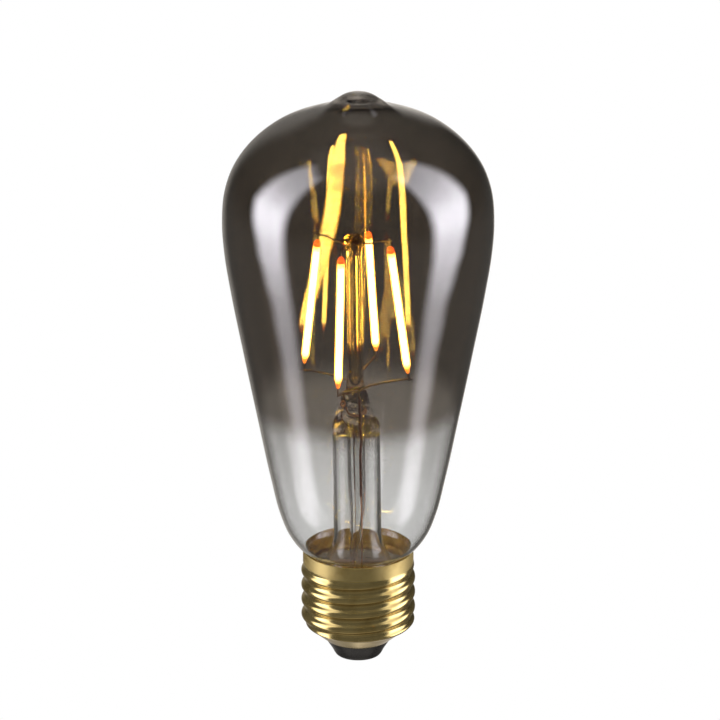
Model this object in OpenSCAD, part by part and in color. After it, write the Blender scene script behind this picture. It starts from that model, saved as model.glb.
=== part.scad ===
// Smart filament bulb: a tipped, tapered glass envelope on a large Edison screw cap.
// Four LED filaments hang on a leaning glass stem; the driver and radio sit inside the cap.
// Millimetres, +Z up. The origin is the centre of the centre contact's flat face.

/* [Envelope] */
// Height from the contact face to the sealed glass tip
total_height = 137; // [132:0.5:142]
// Widest outside diameter of the glass
envelope_diameter = 61.6; // [58:0.2:65]
// Glass wall thickness
glass_wall = 0.75; // [0.6:0.05:1]
// Height that the sealed tip stands above the dome
tip_height = 3.5; // [2.5:0.1:4.5]

/* [Screw cap] */
// Height of the cap's plain rim above the contact face
rim_z = 26.4; // [25.5:0.1:27.5]
// Largest diameter over the thread crests
thread_major = 26.3; // [26.05:0.05:26.45]
// Diameter at the bottom of the thread valleys
thread_minor = 24.26; // [24:0.02:24.26]
// Distance from one crest to the next
thread_pitch = 3.629; // [3.5:0.001:3.7]
// Sheet thickness of the drawn brass shell
shell_wall = 0.3; // [0.25:0.05:0.35]
// Diameter of the centre contact
contact_diameter = 9.2; // [7:0.1:9.6]

/* [Stem] */
// Outside diameter of the stem tube
stem_diameter = 11; // [10:0.1:12]
// Outside diameter of the exhaust tube inside the stem
exhaust_diameter = 4; // [3.4:0.1:4.4]
// Diameter of the glass rod that carries the filaments
rod_diameter = 3.8; // [3:0.1:4.4]
// Lean of the whole mount in degrees, towards -X
stem_lean = 0.8; // [0:0.1:1.5]

/* [Filaments] */
// Length of each phosphor coating
filament_length = 30.8; // [28:0.1:32]
// Diameter of each phosphor coating
filament_diameter = 1.9; // [1.6:0.05:2.2]
// Height of the filaments' lower ends
filament_foot_z = 70.5; // [69:0.1:72]
// Distance of the lower ends from the rod's axis
foot_radius = 12.4; // [11.5:0.1:13]
// Distance of the upper ends from the rod's axis
crown_radius = 8.6; // [8:0.1:10]
// Number of light-emitting chips along each filament
chip_count = 14; // [8:1:20]
// Diameter of the support and lead wires
wire_diameter = 0.44; // [0.36:0.02:0.5]

/* [Driver] */
// Diameter of the round driver board
board_diameter = 21.4; // [20:0.1:22]
// Height of the driver board's underside
board_z = 14.2; // [13.8:0.1:14.6]

/* [Hidden] */
$fn = 64;

// ---- Envelope sizes
widest_r = envelope_diameter / 2;
glass_rise = total_height - tip_height - rim_z;
neck_r = 11.5;
neck_end_z = 19;
tip_wall = 1.9;
tip_reach = 5.5;
outline_steps = 4;

// ---- Cap sizes
crest_r = thread_major / 2;
valley_r = thread_minor / 2;
thread_depth = crest_r - valley_r;
thread_arc_r = (pow(thread_pitch / 2, 2) + pow(thread_depth, 2)) / (4 * thread_depth);
band_r = 12.75;
cap_sides = 40;
cone_bottom_z = 4.3;
cone_bottom_r = 7.7;
cone_top_z = 8;
cone_slope = (valley_r - cone_bottom_r) / (cone_top_z - cone_bottom_z);
thread_foot_z = [7.4, 9];
thread_head_z = [21.4, 23.4];
crest_z_left = 17.4;
contact_thickness = 0.7;
insulator_r = 5.5;
pin_r = 1.5;
seat_clearance = 0.06;

// ---- Stem sizes
stem_r = stem_diameter / 2;
stem_wall = 0.9;
flare_z = 19.6;
tube_foot_z = 31;
tube_head_z = 56.8;
press_r = 3.4;
press_z = 61.6;
press_top_z = 65.4;
rod_top_z = 99.6;
button_r = 2.75;
button_z = 101.6;
button_half = 1.5;
exhaust_r = exhaust_diameter / 2;
exhaust_wall = 0.8;
exhaust_tip_z = 20.6;
lead_turn = -71;
lead_radius = 2.75;
dumet_r = 0.3;
dumet_z = [40.5, 64];
outer_lead_r = 0.16;
wire_r = wire_diameter / 2;

// ---- Filament sizes
filament_turns = [160, 252, 67, 346];
filament_r = filament_diameter / 2;
filament_tilt = asin((foot_radius - crown_radius) / filament_length);
taper = 2.6;
tip_r = 0.5;
strip = [1.05, 0.36, 1.2];
chip = [0.7, 0.16, 1.0];
tab = [0.55, 0.2, 2.4];

// ---- Driver sizes
board_r = board_diameter / 2;
board_thickness = 1;
board_top_z = board_z + board_thickness;
sleeve_r = 11.55;
sleeve_wall = 0.4;
sleeve_z = [8.5, 18];
disc_thickness = 0.5;
disc_z = sleeve_z[1];
radio_board_size = [7.6, 9.2, 0.6];
radio_board_at = [5.4, 0];

// ---- Curves, rings and skins

function unit(v) = v / norm(v);

// Tangent at point i of a smooth curve through the points p, which lie at uneven distances.
function slope_at(p, i, first, last) =
    i == 0 ? first :
    i == len(p) - 1 ? last :
    let (before = p[i] - p[i - 1], after = p[i + 1] - p[i], b = norm(before), a = norm(after))
    (before / b * a + after / a * b) / (a + b);

function curve_point(a, b, from, to, s) =
    let (reach = norm(b - a))
    (2 * s * s * s - 3 * s * s + 1) * a + (s * s * s - 2 * s * s + s) * reach * from
    + (3 * s * s - 2 * s * s * s) * b + (s * s * s - s * s) * reach * to;

// Points along the smooth curve, with the given number of steps between neighbouring points.
function smooth(p, first, last, steps) = concat(
    [for (i = [0 : len(p) - 2], k = [0 : steps - 1])
        curve_point(p[i], p[i + 1], slope_at(p, i, first, last), slope_at(p, i + 1, first, last), k / steps)],
    [p[len(p) - 1]]);

function smooth_path(p, steps) =
    smooth(p, unit(p[1] - p[0]), unit(p[len(p) - 1] - p[len(p) - 2]), steps);

function heading(p, i) = unit(p[min(i + 1, len(p) - 1)] - p[max(i - 1, 0)]);

// A side vector that is carried along the path without twisting.
function carried(p, i, side) =
    i == len(p) ? [] :
    let (t = heading(p, i), n = unit(side - (side * t) * t))
    concat([n], carried(p, i + 1, n));

function first_side(t) = abs(t[0]) < 0.8 ? [1, 0, 0] : [0, 1, 0];

// A solid skinned over rings of equal count; a looped skin closes on itself like a tyre.
module skin(rings, looped = false) {
    n = len(rings[0]);
    rows = len(rings);
    spans = looped ? rows : rows - 1;
    sides = [for (j = [0 : spans - 1], i = [0 : n - 1])
        let (a = j * n + i, b = j * n + (i + 1) % n,
            c = ((j + 1) % rows) * n + (i + 1) % n, d = ((j + 1) % rows) * n + i)
        each [[a, b, c], [a, c, d]]];
    ends = looped ? [] : [[for (i = [n - 1 : -1 : 0]) i], [for (i = [0 : n - 1]) (rows - 1) * n + i]];
    points = [for (ring = rings) each ring];
    polyhedron(points, [for (f = concat(sides, ends)) [for (k = [len(f) - 1 : -1 : 0]) f[k]]]);
}

// A round wire along a path of points.
module wire(points, radius, steps = 3, sides = 8) {
    path = smooth_path(points, steps);
    across = carried(path, 0, first_side(heading(path, 0)));
    skin([for (i = [0 : len(path) - 1])
        let (up = cross(heading(path, i), across[i]))
        [for (k = [0 : sides - 1])
            path[i] + radius * (cos(360 * k / sides) * across[i] + sin(360 * k / sides) * up)]]);
}

module tube(outer, inner, height) {
    difference() {
        cylinder(r = outer, h = height);
        translate([0, 0, -1]) cylinder(r = inner, h = height + 2);
    }
}

module block(size) {
    translate([-size[0] / 2, -size[1] / 2, 0]) cube(size);
}

// Everything on the stem leans together about the seal at the foot of the neck.
module lean() {
    translate([0, 0, flare_z]) rotate([0, -stem_lean, 0]) translate([0, 0, -flare_z]) children();
}

// ---- Glass

// Outline of the glass: the neck, then the taper and shoulder as shares of the widest
// radius and of the height up to the dome, then the sealed tip.
function outline() = smooth(concat(
    [[neck_r, neck_end_z], [neck_r, rim_z - 2.4], [neck_r + 0.55, rim_z - 0.2]],
    [for (s = [[0.441, 0.010], [0.524, 0.043], [0.588, 0.090], [0.649, 0.164], [0.754, 0.314],
               [0.855, 0.463], [0.940, 0.594], [0.988, 0.687], [1, 0.743], [0.976, 0.818],
               [0.931, 0.855], [0.864, 0.887], [0.649, 0.946], [0.390, 0.981]])
        [widest_r * s[0], rim_z + glass_rise * s[1]]],
    [for (s = [[8, -0.4], [5.5, 1.46], [3, 3.02], [0, 3.5]])
        [s[0], total_height - tip_height + s[1] * tip_height / 3.5]]),
    [0, 1], [-1, 0], outline_steps);

function inward(p, i) = let (t = heading(p, i)) [-t[1], t[0]];

// The wall is even but for the sealed tip, where the glass has drawn together.
function bore_outline(p) = [for (i = [0 : len(p) - 1])
    let (last = i == len(p) - 1, n = last ? [0, -1] : i == 0 ? [-1, 0] : inward(p, i),
        wall = glass_wall + tip_wall * exp(-pow(p[i][0] / tip_reach, 2)) * (p[i][1] > rim_z * 2 ? 1 : 0))
    [max(0, p[i][0] + wall * n[0]), p[i][1] + wall * n[1]]];

module glass_envelope() {
    outer = outline();
    inner = bore_outline(outer);
    color([0.42, 0.38, 0.36, 0.5])
    rotate_extrude($fn = 96)
    polygon(concat(outer, [for (i = [len(inner) - 1 : -1 : 0]) inner[i]]));
}

// Flare, tube and press: a funnel sealed to the neck, drawn up into a tube with a solid top.
module stem_flare() {
    rim = neck_r - glass_wall - 0.05;
    funnel = smooth([[rim, flare_z], [rim - 1.6, flare_z + 1.6], [stem_r + 0.9, tube_foot_z - 4.5],
        [stem_r, tube_foot_z]], [-0.8, 0.6], [0, 1], outline_steps);
    head = smooth([[stem_r, tube_head_z], [press_r + 0.9, press_z - 1.4], [press_r, press_z],
        [press_r - 0.1, press_top_z - 1.2], [rod_diameter / 2 + 0.2, press_top_z]],
        [0, 1], [-0.8, 0.6], outline_steps);
    bore = smooth([[stem_r - stem_wall, tube_foot_z], [stem_r + 0.1, tube_foot_z - 4.6],
        [rim - 2.2, flare_z + 0.9], [rim - 0.7, flare_z - 0.6]], [0, -1], [0.8, -0.6], outline_steps);
    color([0.85, 0.88, 0.86, 0.45])
    lean() difference() {
        rotate_extrude()
        polygon(concat(funnel, head, [[0, press_top_z], [0, tube_head_z],
            [stem_r - stem_wall - 0.8, tube_head_z - 0.4], [stem_r - stem_wall, tube_head_z - 1.4]], bore));
        for (turn = [0, 180])
            rotate([0, 0, lead_turn + turn])
            translate([lead_radius, 0, tube_head_z - 2])
            cylinder(r = dumet_r, h = press_top_z - tube_head_z + 3);
        translate([0, 0, tube_head_z - 1]) cylinder(r = exhaust_r, h = 2.6);
        translate([0, 0, tube_head_z + 1]) rotate([90, 0, 200]) cylinder(r = 0.75, h = stem_r + 1);
    }
}

// Exhaust tube, drawn down and sealed below the press.
module exhaust_tube() {
    drawn = smooth([[0, exhaust_tip_z], [0.75, exhaust_tip_z + 0.7], [1.15, exhaust_tip_z + 4.5],
        [exhaust_r - 0.35, tube_foot_z - 1], [exhaust_r, tube_foot_z + 3]], [1, 0], [0, 1], outline_steps);
    color([0.88, 0.9, 0.88, 0.45])
    lean() difference() {
        rotate_extrude()
        polygon(concat(drawn, [[exhaust_r, tube_head_z + 1.5], [0, tube_head_z + 1.5]]));
        translate([0, 0, tube_foot_z]) cylinder(r = exhaust_r - exhaust_wall, h = tube_head_z - tube_foot_z + 2);
        translate([0, 0, exhaust_tip_z + 5]) cylinder(r = 0.5, h = tube_foot_z - exhaust_tip_z);
        translate([0, 0, tube_head_z + 1]) rotate([90, 0, 200]) cylinder(r = 0.75, h = stem_r);
    }
}

// Glass rod with its melted button, which grips the upper wires.
module support_rod() {
    r = rod_diameter / 2;
    button = smooth([[r, rod_top_z], [button_r - 0.3, button_z - 1], [button_r, button_z],
        [button_r - 0.7, button_z + 1], [0, button_z + button_half]], [0.3, 0.95], [-1, 0], outline_steps);
    color([0.9, 0.86, 0.74, 0.55])
    lean() difference() {
        rotate_extrude()
        polygon(concat([[0, press_top_z], [r, press_top_z]], button));
        for (k = [0, 1])
            rotate([0, 0, filament_turns[[3, 2][k]]])
            translate([0, 0, bridge_z(k)]) rotate([0, 90, 0])
            cylinder(r = wire_r + 0.02, h = 2 * button_r + 1, center = true);
    }
}

// ---- Filaments

// The frame of one filament: its foot at the origin and its length along +Z.
module at_filament(i) {
    lean()
    rotate([0, 0, filament_turns[i]]) translate([foot_radius, 0, filament_foot_z])
    rotate([0, -filament_tilt, 0]) children();
}

// A place in the leaning frame, given its distance s along filament i.
function on_filament(i, s) =
    let (r = foot_radius - s * sin(filament_tilt))
    [r * cos(filament_turns[i]), r * sin(filament_turns[i]), filament_foot_z + s * cos(filament_tilt)];

module phosphor_coating(i) {
    color([1, 0.78, 0.3])
    at_filament(i) difference() {
        rotate_extrude($fn = 32)
        polygon([[0, 0], [tip_r, 0], [0.8 * filament_r, taper / 2], [filament_r, taper],
            [filament_r, filament_length - taper], [0.8 * filament_r, filament_length - taper / 2],
            [tip_r, filament_length], [0, filament_length]]);
        translate([0, 0, -1]) block([strip[0], strip[1], filament_length + 2]);
        translate([0, strip[1] / 2 + chip[1] / 2, strip[2]])
        block([chip[0], chip[1] + 0.01, filament_length - 2 * strip[2]]);
    }
}

module carrier_strip(i) {
    color([0.93, 0.93, 0.9])
    at_filament(i) translate([0, 0, strip[2] - 0.6])
    block([strip[0] - 0.02, strip[1] - 0.02, filament_length - 2 * strip[2] + 1.2]);
}

module led_chips(i) {
    first = strip[2] + 0.6;
    step = (filament_length - 2 * first - chip[2]) / (chip_count - 1);
    color([0.45, 0.55, 0.8])
    at_filament(i)
    for (k = [0 : chip_count - 1])
        translate([0, strip[1] / 2 + chip[1] / 2, first + k * step])
        block([chip[0] - 0.04, chip[1] - 0.02, chip[2]]);
}

// Two flat metal tabs, one on each end of the carrier strip.
module end_tabs(i) {
    color([0.72, 0.7, 0.68])
    at_filament(i) {
        translate([0, 0, strip[2] - 0.6 - tab[2]]) block([tab[0], tab[1], tab[2]]);
        translate([0, 0, filament_length - strip[2] + 0.6]) block([tab[0], tab[1], tab[2]]);
    }
}

// ---- Wires on the mount

function lead_at(turn, z) = [lead_radius * cos(lead_turn + turn), lead_radius * sin(lead_turn + turn), z];
function tab_foot(i) = on_filament(i, strip[2] - tab[2] - 0.2);
function tab_crown(i) = on_filament(i, filament_length - strip[2] + tab[2] + 0.2);
function bridge_z(k) = button_z + [-0.35, 0.55][k];
function beside(p, gap) = p + gap * [-p[1], p[0], 0] / norm([p[0], p[1]]);
weld_gap = tab[1] / 2 + wire_r + 0.06;

module dumet_seal(turn) {
    color([0.35, 0.16, 0.1])
    lean() translate(lead_at(turn, dumet_z[0])) cylinder(r = dumet_r, h = dumet_z[1] - dumet_z[0], $fn = 24);
}

module outer_lead(turn) {
    color([0.8, 0.45, 0.28])
    lean() translate(lead_at(turn, board_top_z + 0.05))
    cylinder(r = outer_lead_r, h = dumet_z[0] - board_top_z - 0.05, $fn = 24);
}

// Nickel lead: out of the press, over in a round bend and along to a filament's tab.
module inner_lead(turn, i) {
    start = lead_at(turn, dumet_z[1] + 0.03);
    goal = beside(tab_foot(i), weld_gap);
    away = goal - start;
    color([0.62, 0.5, 0.42])
    lean() wire([start, start + [0, 0, 2], start + [away[0] * 0.12, away[1] * 0.12, 3.1],
        start + [away[0] * 0.35, away[1] * 0.35, 3.9], goal - unit(away) * 0.6 + [0, 0, 0.2],
        goal + [away[0], away[1], 0] / norm(away) * 0.9], wire_r);
}

// Short wire from a lead across to the second filament that it feeds.
module jumper(turn, i, bow) {
    start = lead_at(turn, dumet_z[1] + 2.6) + 2.2 * wire_r * [bow[0], bow[1], 0];
    goal = beside(tab_foot(i), weld_gap);
    middle = (start + goal) / 2 + [bow[0], bow[1], 0.4];
    color([0.66, 0.54, 0.45])
    lean() wire([start, middle, goal, goal + unit(goal - middle) * 0.8], wire_r);
}

// Wire through the button that joins the upper tabs of two opposite filaments.
module top_bridge(k, a, b) {
    pa = beside(tab_crown(a), weld_gap);
    pb = beside(tab_crown(b), -weld_gap);
    across = [cos(filament_turns[b]), sin(filament_turns[b]), 0];
    centre = [0, 0, bridge_z(k)];
    ca = centre - (button_r + 0.8) * across;
    cb = centre + (button_r + 0.8) * across;
    inside = [for (s = [-1, 0, 1]) centre + s * (button_r + 0.1) * across];
    color([0.6, 0.5, 0.42])
    lean() wire(concat([pa + unit(pa - ca) * 0.8, pa, (pa + ca) / 2 + [0, 0, 0.3], ca], inside,
        [cb, (pb + cb) / 2 + [0, 0, 0.3], pb, pb + unit(pb - cb) * 0.8]), wire_r, 2);
}

// ---- Screw cap

function ramp(z, span) = let (s = min(1, max(0, (z - span[0]) / (span[1] - span[0])))) s * s * (3 - 2 * s);

// Radius of the round thread, made of equal arcs on the crests and in the valleys.
function thread_r(turn, z) =
    let (up = (z - crest_z_left) / thread_pitch - (turn - 180) / 360,
        off = abs(up - round(up)) * thread_pitch)
    off <= thread_pitch / 4
        ? crest_r - thread_arc_r + sqrt(pow(thread_arc_r, 2) - pow(off, 2))
        : valley_r + thread_arc_r - sqrt(pow(thread_arc_r, 2) - pow(thread_pitch / 2 - off, 2));

function cone_r(z) = min(valley_r, cone_bottom_r + (z - cone_bottom_z) * cone_slope);

// Outside of the shell: the lower cone, the thread, and the plain band under the rim.
function shell_r(turn, z) =
    let (low = ramp(z, thread_foot_z), high = ramp(z, thread_head_z))
    (cone_r(z) * (1 - low) + thread_r(turn, z) * low) * (1 - high) + band_r * high;

module screw_shell() {
    heights = concat([cone_bottom_z, 5.6, 6.8], [for (z = [cone_top_z - 0.6 : 0.4 : thread_head_z[1]]) z],
        [thread_head_z[1] + 0.3, rim_z - 0.5, rim_z]);
    outside = [for (z = heights) [for (i = [0 : cap_sides - 1])
        let (turn = 360 * i / cap_sides, r = shell_r(turn, z)) [r * cos(turn), r * sin(turn), z]]];
    inside = [for (j = [len(heights) - 1 : -1 : 0]) [for (i = [0 : cap_sides - 1])
        let (z = heights[j], turn = 360 * i / cap_sides, r = shell_r(turn, z) - shell_wall)
        [r * cos(turn), r * sin(turn), z]]];
    color([0.78, 0.64, 0.32]) skin(concat(outside, inside), looped = true);
}

// Black glass insulator, moulded into the foot of the shell.
module cap_insulator() {
    inner_r = cone_bottom_r - shell_wall - seat_clearance;
    lip_z = cone_bottom_z + 1.8;
    color([0.09, 0.08, 0.08])
    difference() {
        rotate_extrude()
        polygon([[0, contact_thickness], [insulator_r - 0.6, contact_thickness],
            [insulator_r - 0.15, contact_thickness + 0.2], [insulator_r + 0.2, contact_thickness + 0.6],
            [cone_bottom_r, cone_bottom_z - 0.02], [inner_r, cone_bottom_z - 0.02],
            [inner_r + (lip_z - cone_bottom_z) * cone_slope, lip_z],
            [insulator_r + 0.5, lip_z], [insulator_r - 1.5, 3.2], [0, 3.2]]);
        translate([0, 0, -1]) cylinder(r = pin_r, h = 6);
    }
}

// Flat contact with a hollow pin that grips the line wire.
module centre_contact() {
    r = contact_diameter / 2;
    color([0.82, 0.7, 0.42])
    difference() {
        union() {
            rotate_extrude() polygon([[0, 0], [r - 0.5, 0], [r, 0.35], [r, contact_thickness],
                [0, contact_thickness]]);
            cylinder(r = pin_r, h = 4.4);
        }
        translate([0, 0, 1]) cylinder(r = 0.5, h = 5);
    }
}

module basing_cement() {
    inner = neck_r + 0.03;
    color([0.8, 0.74, 0.62])
    rotate_extrude()
    polygon([[inner, neck_end_z + 0.2], [valley_r - shell_wall - 0.07, neck_end_z + 0.2],
        [valley_r - shell_wall - 0.07, neck_end_z + 2.2], [inner, neck_end_z + 2.2]]);
}

// ---- Driver and radio

module insulating_sleeve() {
    color([0.9, 0.9, 0.88])
    translate([0, 0, sleeve_z[0]]) tube(sleeve_r, sleeve_r - sleeve_wall, sleeve_z[1] - sleeve_z[0]);
}

module insulating_disc() {
    color([0.3, 0.2, 0.12])
    translate([0, 0, disc_z]) difference() {
        cylinder(r = sleeve_r, h = disc_thickness);
        for (turn = [0, 180])
            translate(lead_at(turn, -1)) cylinder(r = 0.5, h = 3, $fn = 24);
    }
}

module driver_board() {
    color([0.1, 0.35, 0.2])
    translate([0, 0, board_z]) difference() {
        cylinder(r = board_r, h = board_thickness);
        translate([0, 0, -1]) cylinder(r = 0.5, h = 3, $fn = 24);
    }
}

module line_wire() {
    color([0.75, 0.12, 0.1]) translate([0, 0, 1]) cylinder(r = 0.48, h = board_z + 0.6, $fn = 24);
}

module neutral_wire() {
    reach = cone_r(cone_top_z) - shell_wall - 0.6;
    color([0.15, 0.15, 0.16])
    wire([[-9.6, -1, board_z - 0.02], [-9.6, -1, 10], [-9.9, -1, 8.4], [-reach, -1, cone_top_z - 0.1]], 0.35);
}

module smoothing_capacitor() {
    r = 3.15;
    height = 7;
    color([0.16, 0.17, 0.22])
    translate([4.4, 3.4, board_z - height]) rotate_extrude()
    polygon([[0, 0.15], [r - 0.6, 0], [r, 0.4], [r, height - 1.4], [r - 0.25, height - 1.1],
        [r, height - 0.8], [r, height], [0, height]]);
}

module power_inductor() {
    height = 5.4;
    color([0.2, 0.19, 0.19])
    translate([-4.6, 3.4, board_z - height]) rotate_extrude()
    polygon([[0, 0], [2.6, 0], [2.6, 0.8], [2.2, 0.8], [2.2, height - 0.8], [2.6, height - 0.8],
        [2.6, height], [0, height]]);
}

module bridge_rectifier() {
    color([0.1, 0.1, 0.11])
    translate([-4.6, -4.4, board_z]) mirror([0, 0, 1]) {
        translate([0, 0, 0.15]) block([4.7, 3.8, 1.4]);
        for (x = [-1.27, 1.27], y = [-2.25, 2.25]) translate([x, y, 0]) block([0.7, 0.9, 0.35]);
    }
}

module fusible_resistor() {
    color([0.35, 0.5, 0.36])
    translate([7.3, -3.4, board_z - 6.6]) {
        translate([0, 0, 0.6]) cylinder(r = 1.2, h = 5.2);
        cylinder(r = 0.3, h = 6.6, $fn = 24);
    }
}

module driver_chip() {
    color([0.12, 0.12, 0.13])
    translate([1.6, -6.2, board_z]) mirror([0, 0, 1]) {
        translate([0, 0, 0.15]) block([4.9, 3.9, 1.4]);
        for (k = [-1.5 : 1 : 1.5], y = [-2.35, 2.35]) translate([k * 1.27, y, 0]) block([0.42, 1, 0.3]);
    }
}

// Small surface-mounted resistors and capacitors on the board's upper side.
module chip_components() {
    color([0.62, 0.52, 0.4])
    for (x = [-7.4, -5.2, -3], y = [-4.8, -1.6, 1.6, 4.8])
        translate([x, y, board_top_z]) block([0.8, 1.6, 0.6]);
}

module radio_board() {
    color([0.08, 0.2, 0.36])
    translate([radio_board_at[0], radio_board_at[1], board_top_z]) block(radio_board_size);
}

// Drawn tin can over the radio chip, open below.
module radio_shield() {
    color([0.78, 0.78, 0.78])
    translate([radio_board_at[0], -1.5, board_top_z + radio_board_size[2]]) difference() {
        block([6.4, 5, 1.4]);
        translate([0, 0, -1]) block([6, 4.6, 2.2]);
    }
}

module radio_crystal() {
    color([0.85, 0.84, 0.8])
    translate([radio_board_at[0] + 0.8, -2, board_top_z + radio_board_size[2]]) block([2.5, 2, 0.6]);
}

// Printed antenna: a folded copper track beyond the shield.
module antenna_trace() {
    rows = 5;
    step = 1.2;
    color([0.85, 0.55, 0.3])
    translate([radio_board_at[0] - step * rows / 2 + 0.2, 1.5, board_top_z + radio_board_size[2]]) {
        for (k = [0 : rows]) translate([k * step, 0, 0]) cube([0.3, 2.6, 0.08]);
        for (k = [0 : rows - 1]) translate([k * step, k % 2 == 0 ? 2.3 : 0, 0]) cube([step + 0.3, 0.3, 0.08]);
    }
}

glass_envelope();
stem_flare();
exhaust_tube();
support_rod();
dumet_seal(0);  // dumet_seal_line
dumet_seal(180);  // dumet_seal_return
outer_lead(0);  // outer_lead_line
outer_lead(180);  // outer_lead_return
inner_lead(0, 3);  // inner_lead_line
inner_lead(180, 0);  // inner_lead_return
jumper(0, 1, [-1, -0.6]);  // jumper_line
jumper(180, 2, [0.6, 0.8]);  // jumper_return
top_bridge(0, 0, 3);  // top_bridge_wide
top_bridge(1, 1, 2);  // top_bridge_deep
phosphor_coating(0);  // phosphor_coating_1
phosphor_coating(1);  // phosphor_coating_2
phosphor_coating(2);  // phosphor_coating_3
phosphor_coating(3);  // phosphor_coating_4
carrier_strip(0);  // carrier_strip_1
carrier_strip(1);  // carrier_strip_2
carrier_strip(2);  // carrier_strip_3
carrier_strip(3);  // carrier_strip_4
led_chips(0);  // led_chips_1
led_chips(1);  // led_chips_2
led_chips(2);  // led_chips_3
led_chips(3);  // led_chips_4
end_tabs(0);  // end_tabs_1
end_tabs(1);  // end_tabs_2
end_tabs(2);  // end_tabs_3
end_tabs(3);  // end_tabs_4
screw_shell();
cap_insulator();
centre_contact();
basing_cement();
insulating_sleeve();
insulating_disc();
driver_board();
line_wire();
neutral_wire();
smoothing_capacitor();
power_inductor();
bridge_rectifier();
fusible_resistor();
driver_chip();
chip_components();
radio_board();
radio_shield();
radio_crystal();
antenna_trace();
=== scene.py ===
"""Looks of a smoked filament bulb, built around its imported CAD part.

The glass, the stem, the wires, the filaments and the screw cap are modelled here in finer
meshes than the CAD needs. The driver and the radio inside the cap keep their CAD meshes.
Lengths inside the classes are millimetres and become metres when a piece is finished.
"""

import logging
import math
from collections.abc import Callable, Iterable, Mapping, Sequence
from dataclasses import dataclass, field
from enum import Enum

import bmesh
import bpy
from mathutils import Matrix, Vector


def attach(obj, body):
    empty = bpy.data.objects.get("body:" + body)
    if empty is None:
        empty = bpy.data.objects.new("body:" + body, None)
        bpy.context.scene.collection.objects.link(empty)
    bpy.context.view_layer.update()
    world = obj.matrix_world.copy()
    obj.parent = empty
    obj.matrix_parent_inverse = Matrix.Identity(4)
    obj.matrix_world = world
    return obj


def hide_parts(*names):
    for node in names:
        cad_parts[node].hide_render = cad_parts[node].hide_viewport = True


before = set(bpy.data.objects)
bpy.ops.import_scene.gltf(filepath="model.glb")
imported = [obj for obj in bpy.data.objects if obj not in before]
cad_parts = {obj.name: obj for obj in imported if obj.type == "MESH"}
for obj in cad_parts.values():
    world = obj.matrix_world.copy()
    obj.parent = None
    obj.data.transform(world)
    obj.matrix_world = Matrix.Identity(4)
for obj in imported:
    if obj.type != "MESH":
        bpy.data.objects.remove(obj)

logging.basicConfig(level=logging.INFO, format="%(message)s")
log = logging.getLogger("bulb")

MM = 0.001
GLASS_IOR = 1.5
BODY = "root"
Colour = tuple[float, float, float]


# ---- Shader maths


class Signal:
    """A shader socket on which arithmetic builds Math nodes."""

    def __init__(self, bench: "Bench", socket: bpy.types.NodeSocket) -> None:
        """Wraps a socket.

        Args:
            bench: the tree that the socket belongs to.
            socket: an output socket.
        """
        self.bench = bench
        self.socket = socket

    def _math(self, operation: str, *values: "Signal | float") -> "Signal":
        """One Math node on these values."""
        return self.bench.node("ShaderNodeMath", {"operation": operation}, dict(enumerate(values)))

    def __add__(self, other: "Signal | float") -> "Signal":
        """This plus other."""
        return self._math("ADD", self, other)

    def __radd__(self, other: float) -> "Signal":
        """Other plus this."""
        return self._math("ADD", other, self)

    def __sub__(self, other: "Signal | float") -> "Signal":
        """This minus other."""
        return self._math("SUBTRACT", self, other)

    def __rsub__(self, other: float) -> "Signal":
        """Other minus this."""
        return self._math("SUBTRACT", other, self)

    def __mul__(self, other: "Signal | float") -> "Signal":
        """This times other."""
        return self._math("MULTIPLY", self, other)

    def __rmul__(self, other: float) -> "Signal":
        """Other times this."""
        return self._math("MULTIPLY", other, self)

    def __truediv__(self, other: "Signal | float") -> "Signal":
        """This over other."""
        return self._math("DIVIDE", self, other)

    def __neg__(self) -> "Signal":
        """Minus this."""
        return self._math("MULTIPLY", self, -1.0)

    def sine(self) -> "Signal":
        """Sine of this, in radians."""
        return self._math("SINE", self)

    def arcsine(self) -> "Signal":
        """Angle whose sine this is."""
        return self._math("ARCSINE", self)

    def angle_from(self, other: "Signal") -> "Signal":
        """Angle of the direction whose sine part is this and whose cosine part is other."""
        return self._math("ARCTAN2", self, other)

    def above(self, threshold: float) -> "Signal":
        """1 where this is above the threshold, and 0 elsewhere."""
        return self._math("GREATER_THAN", self, threshold)

    def rise(self, low: float, high: float) -> "Signal":
        """A soft step from 0 at low to 1 at high."""
        return self.bench.node(
            "ShaderNodeMapRange",
            {"interpolation_type": "SMOOTHSTEP"},
            {"Value": self, "From Min": low, "From Max": high},
        )

    def window(self, low: float, high: float, soft: float) -> "Signal":
        """1 between low and high, falling to 0 over a soft edge at both."""
        return self.rise(low - soft, low + soft) * (1 - self.rise(high - soft, high + soft))

    def bell(self, middle: float, width: float) -> "Signal":
        """A hump that is 1 at the middle and falls away over the width."""
        off = (self - middle) / width
        return self._math("EXPONENT", -(off * off))

    def at_most(self, limit: float) -> "Signal":
        """This, or the limit where this is above it."""
        return self._math("MINIMUM", self, limit)


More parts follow.
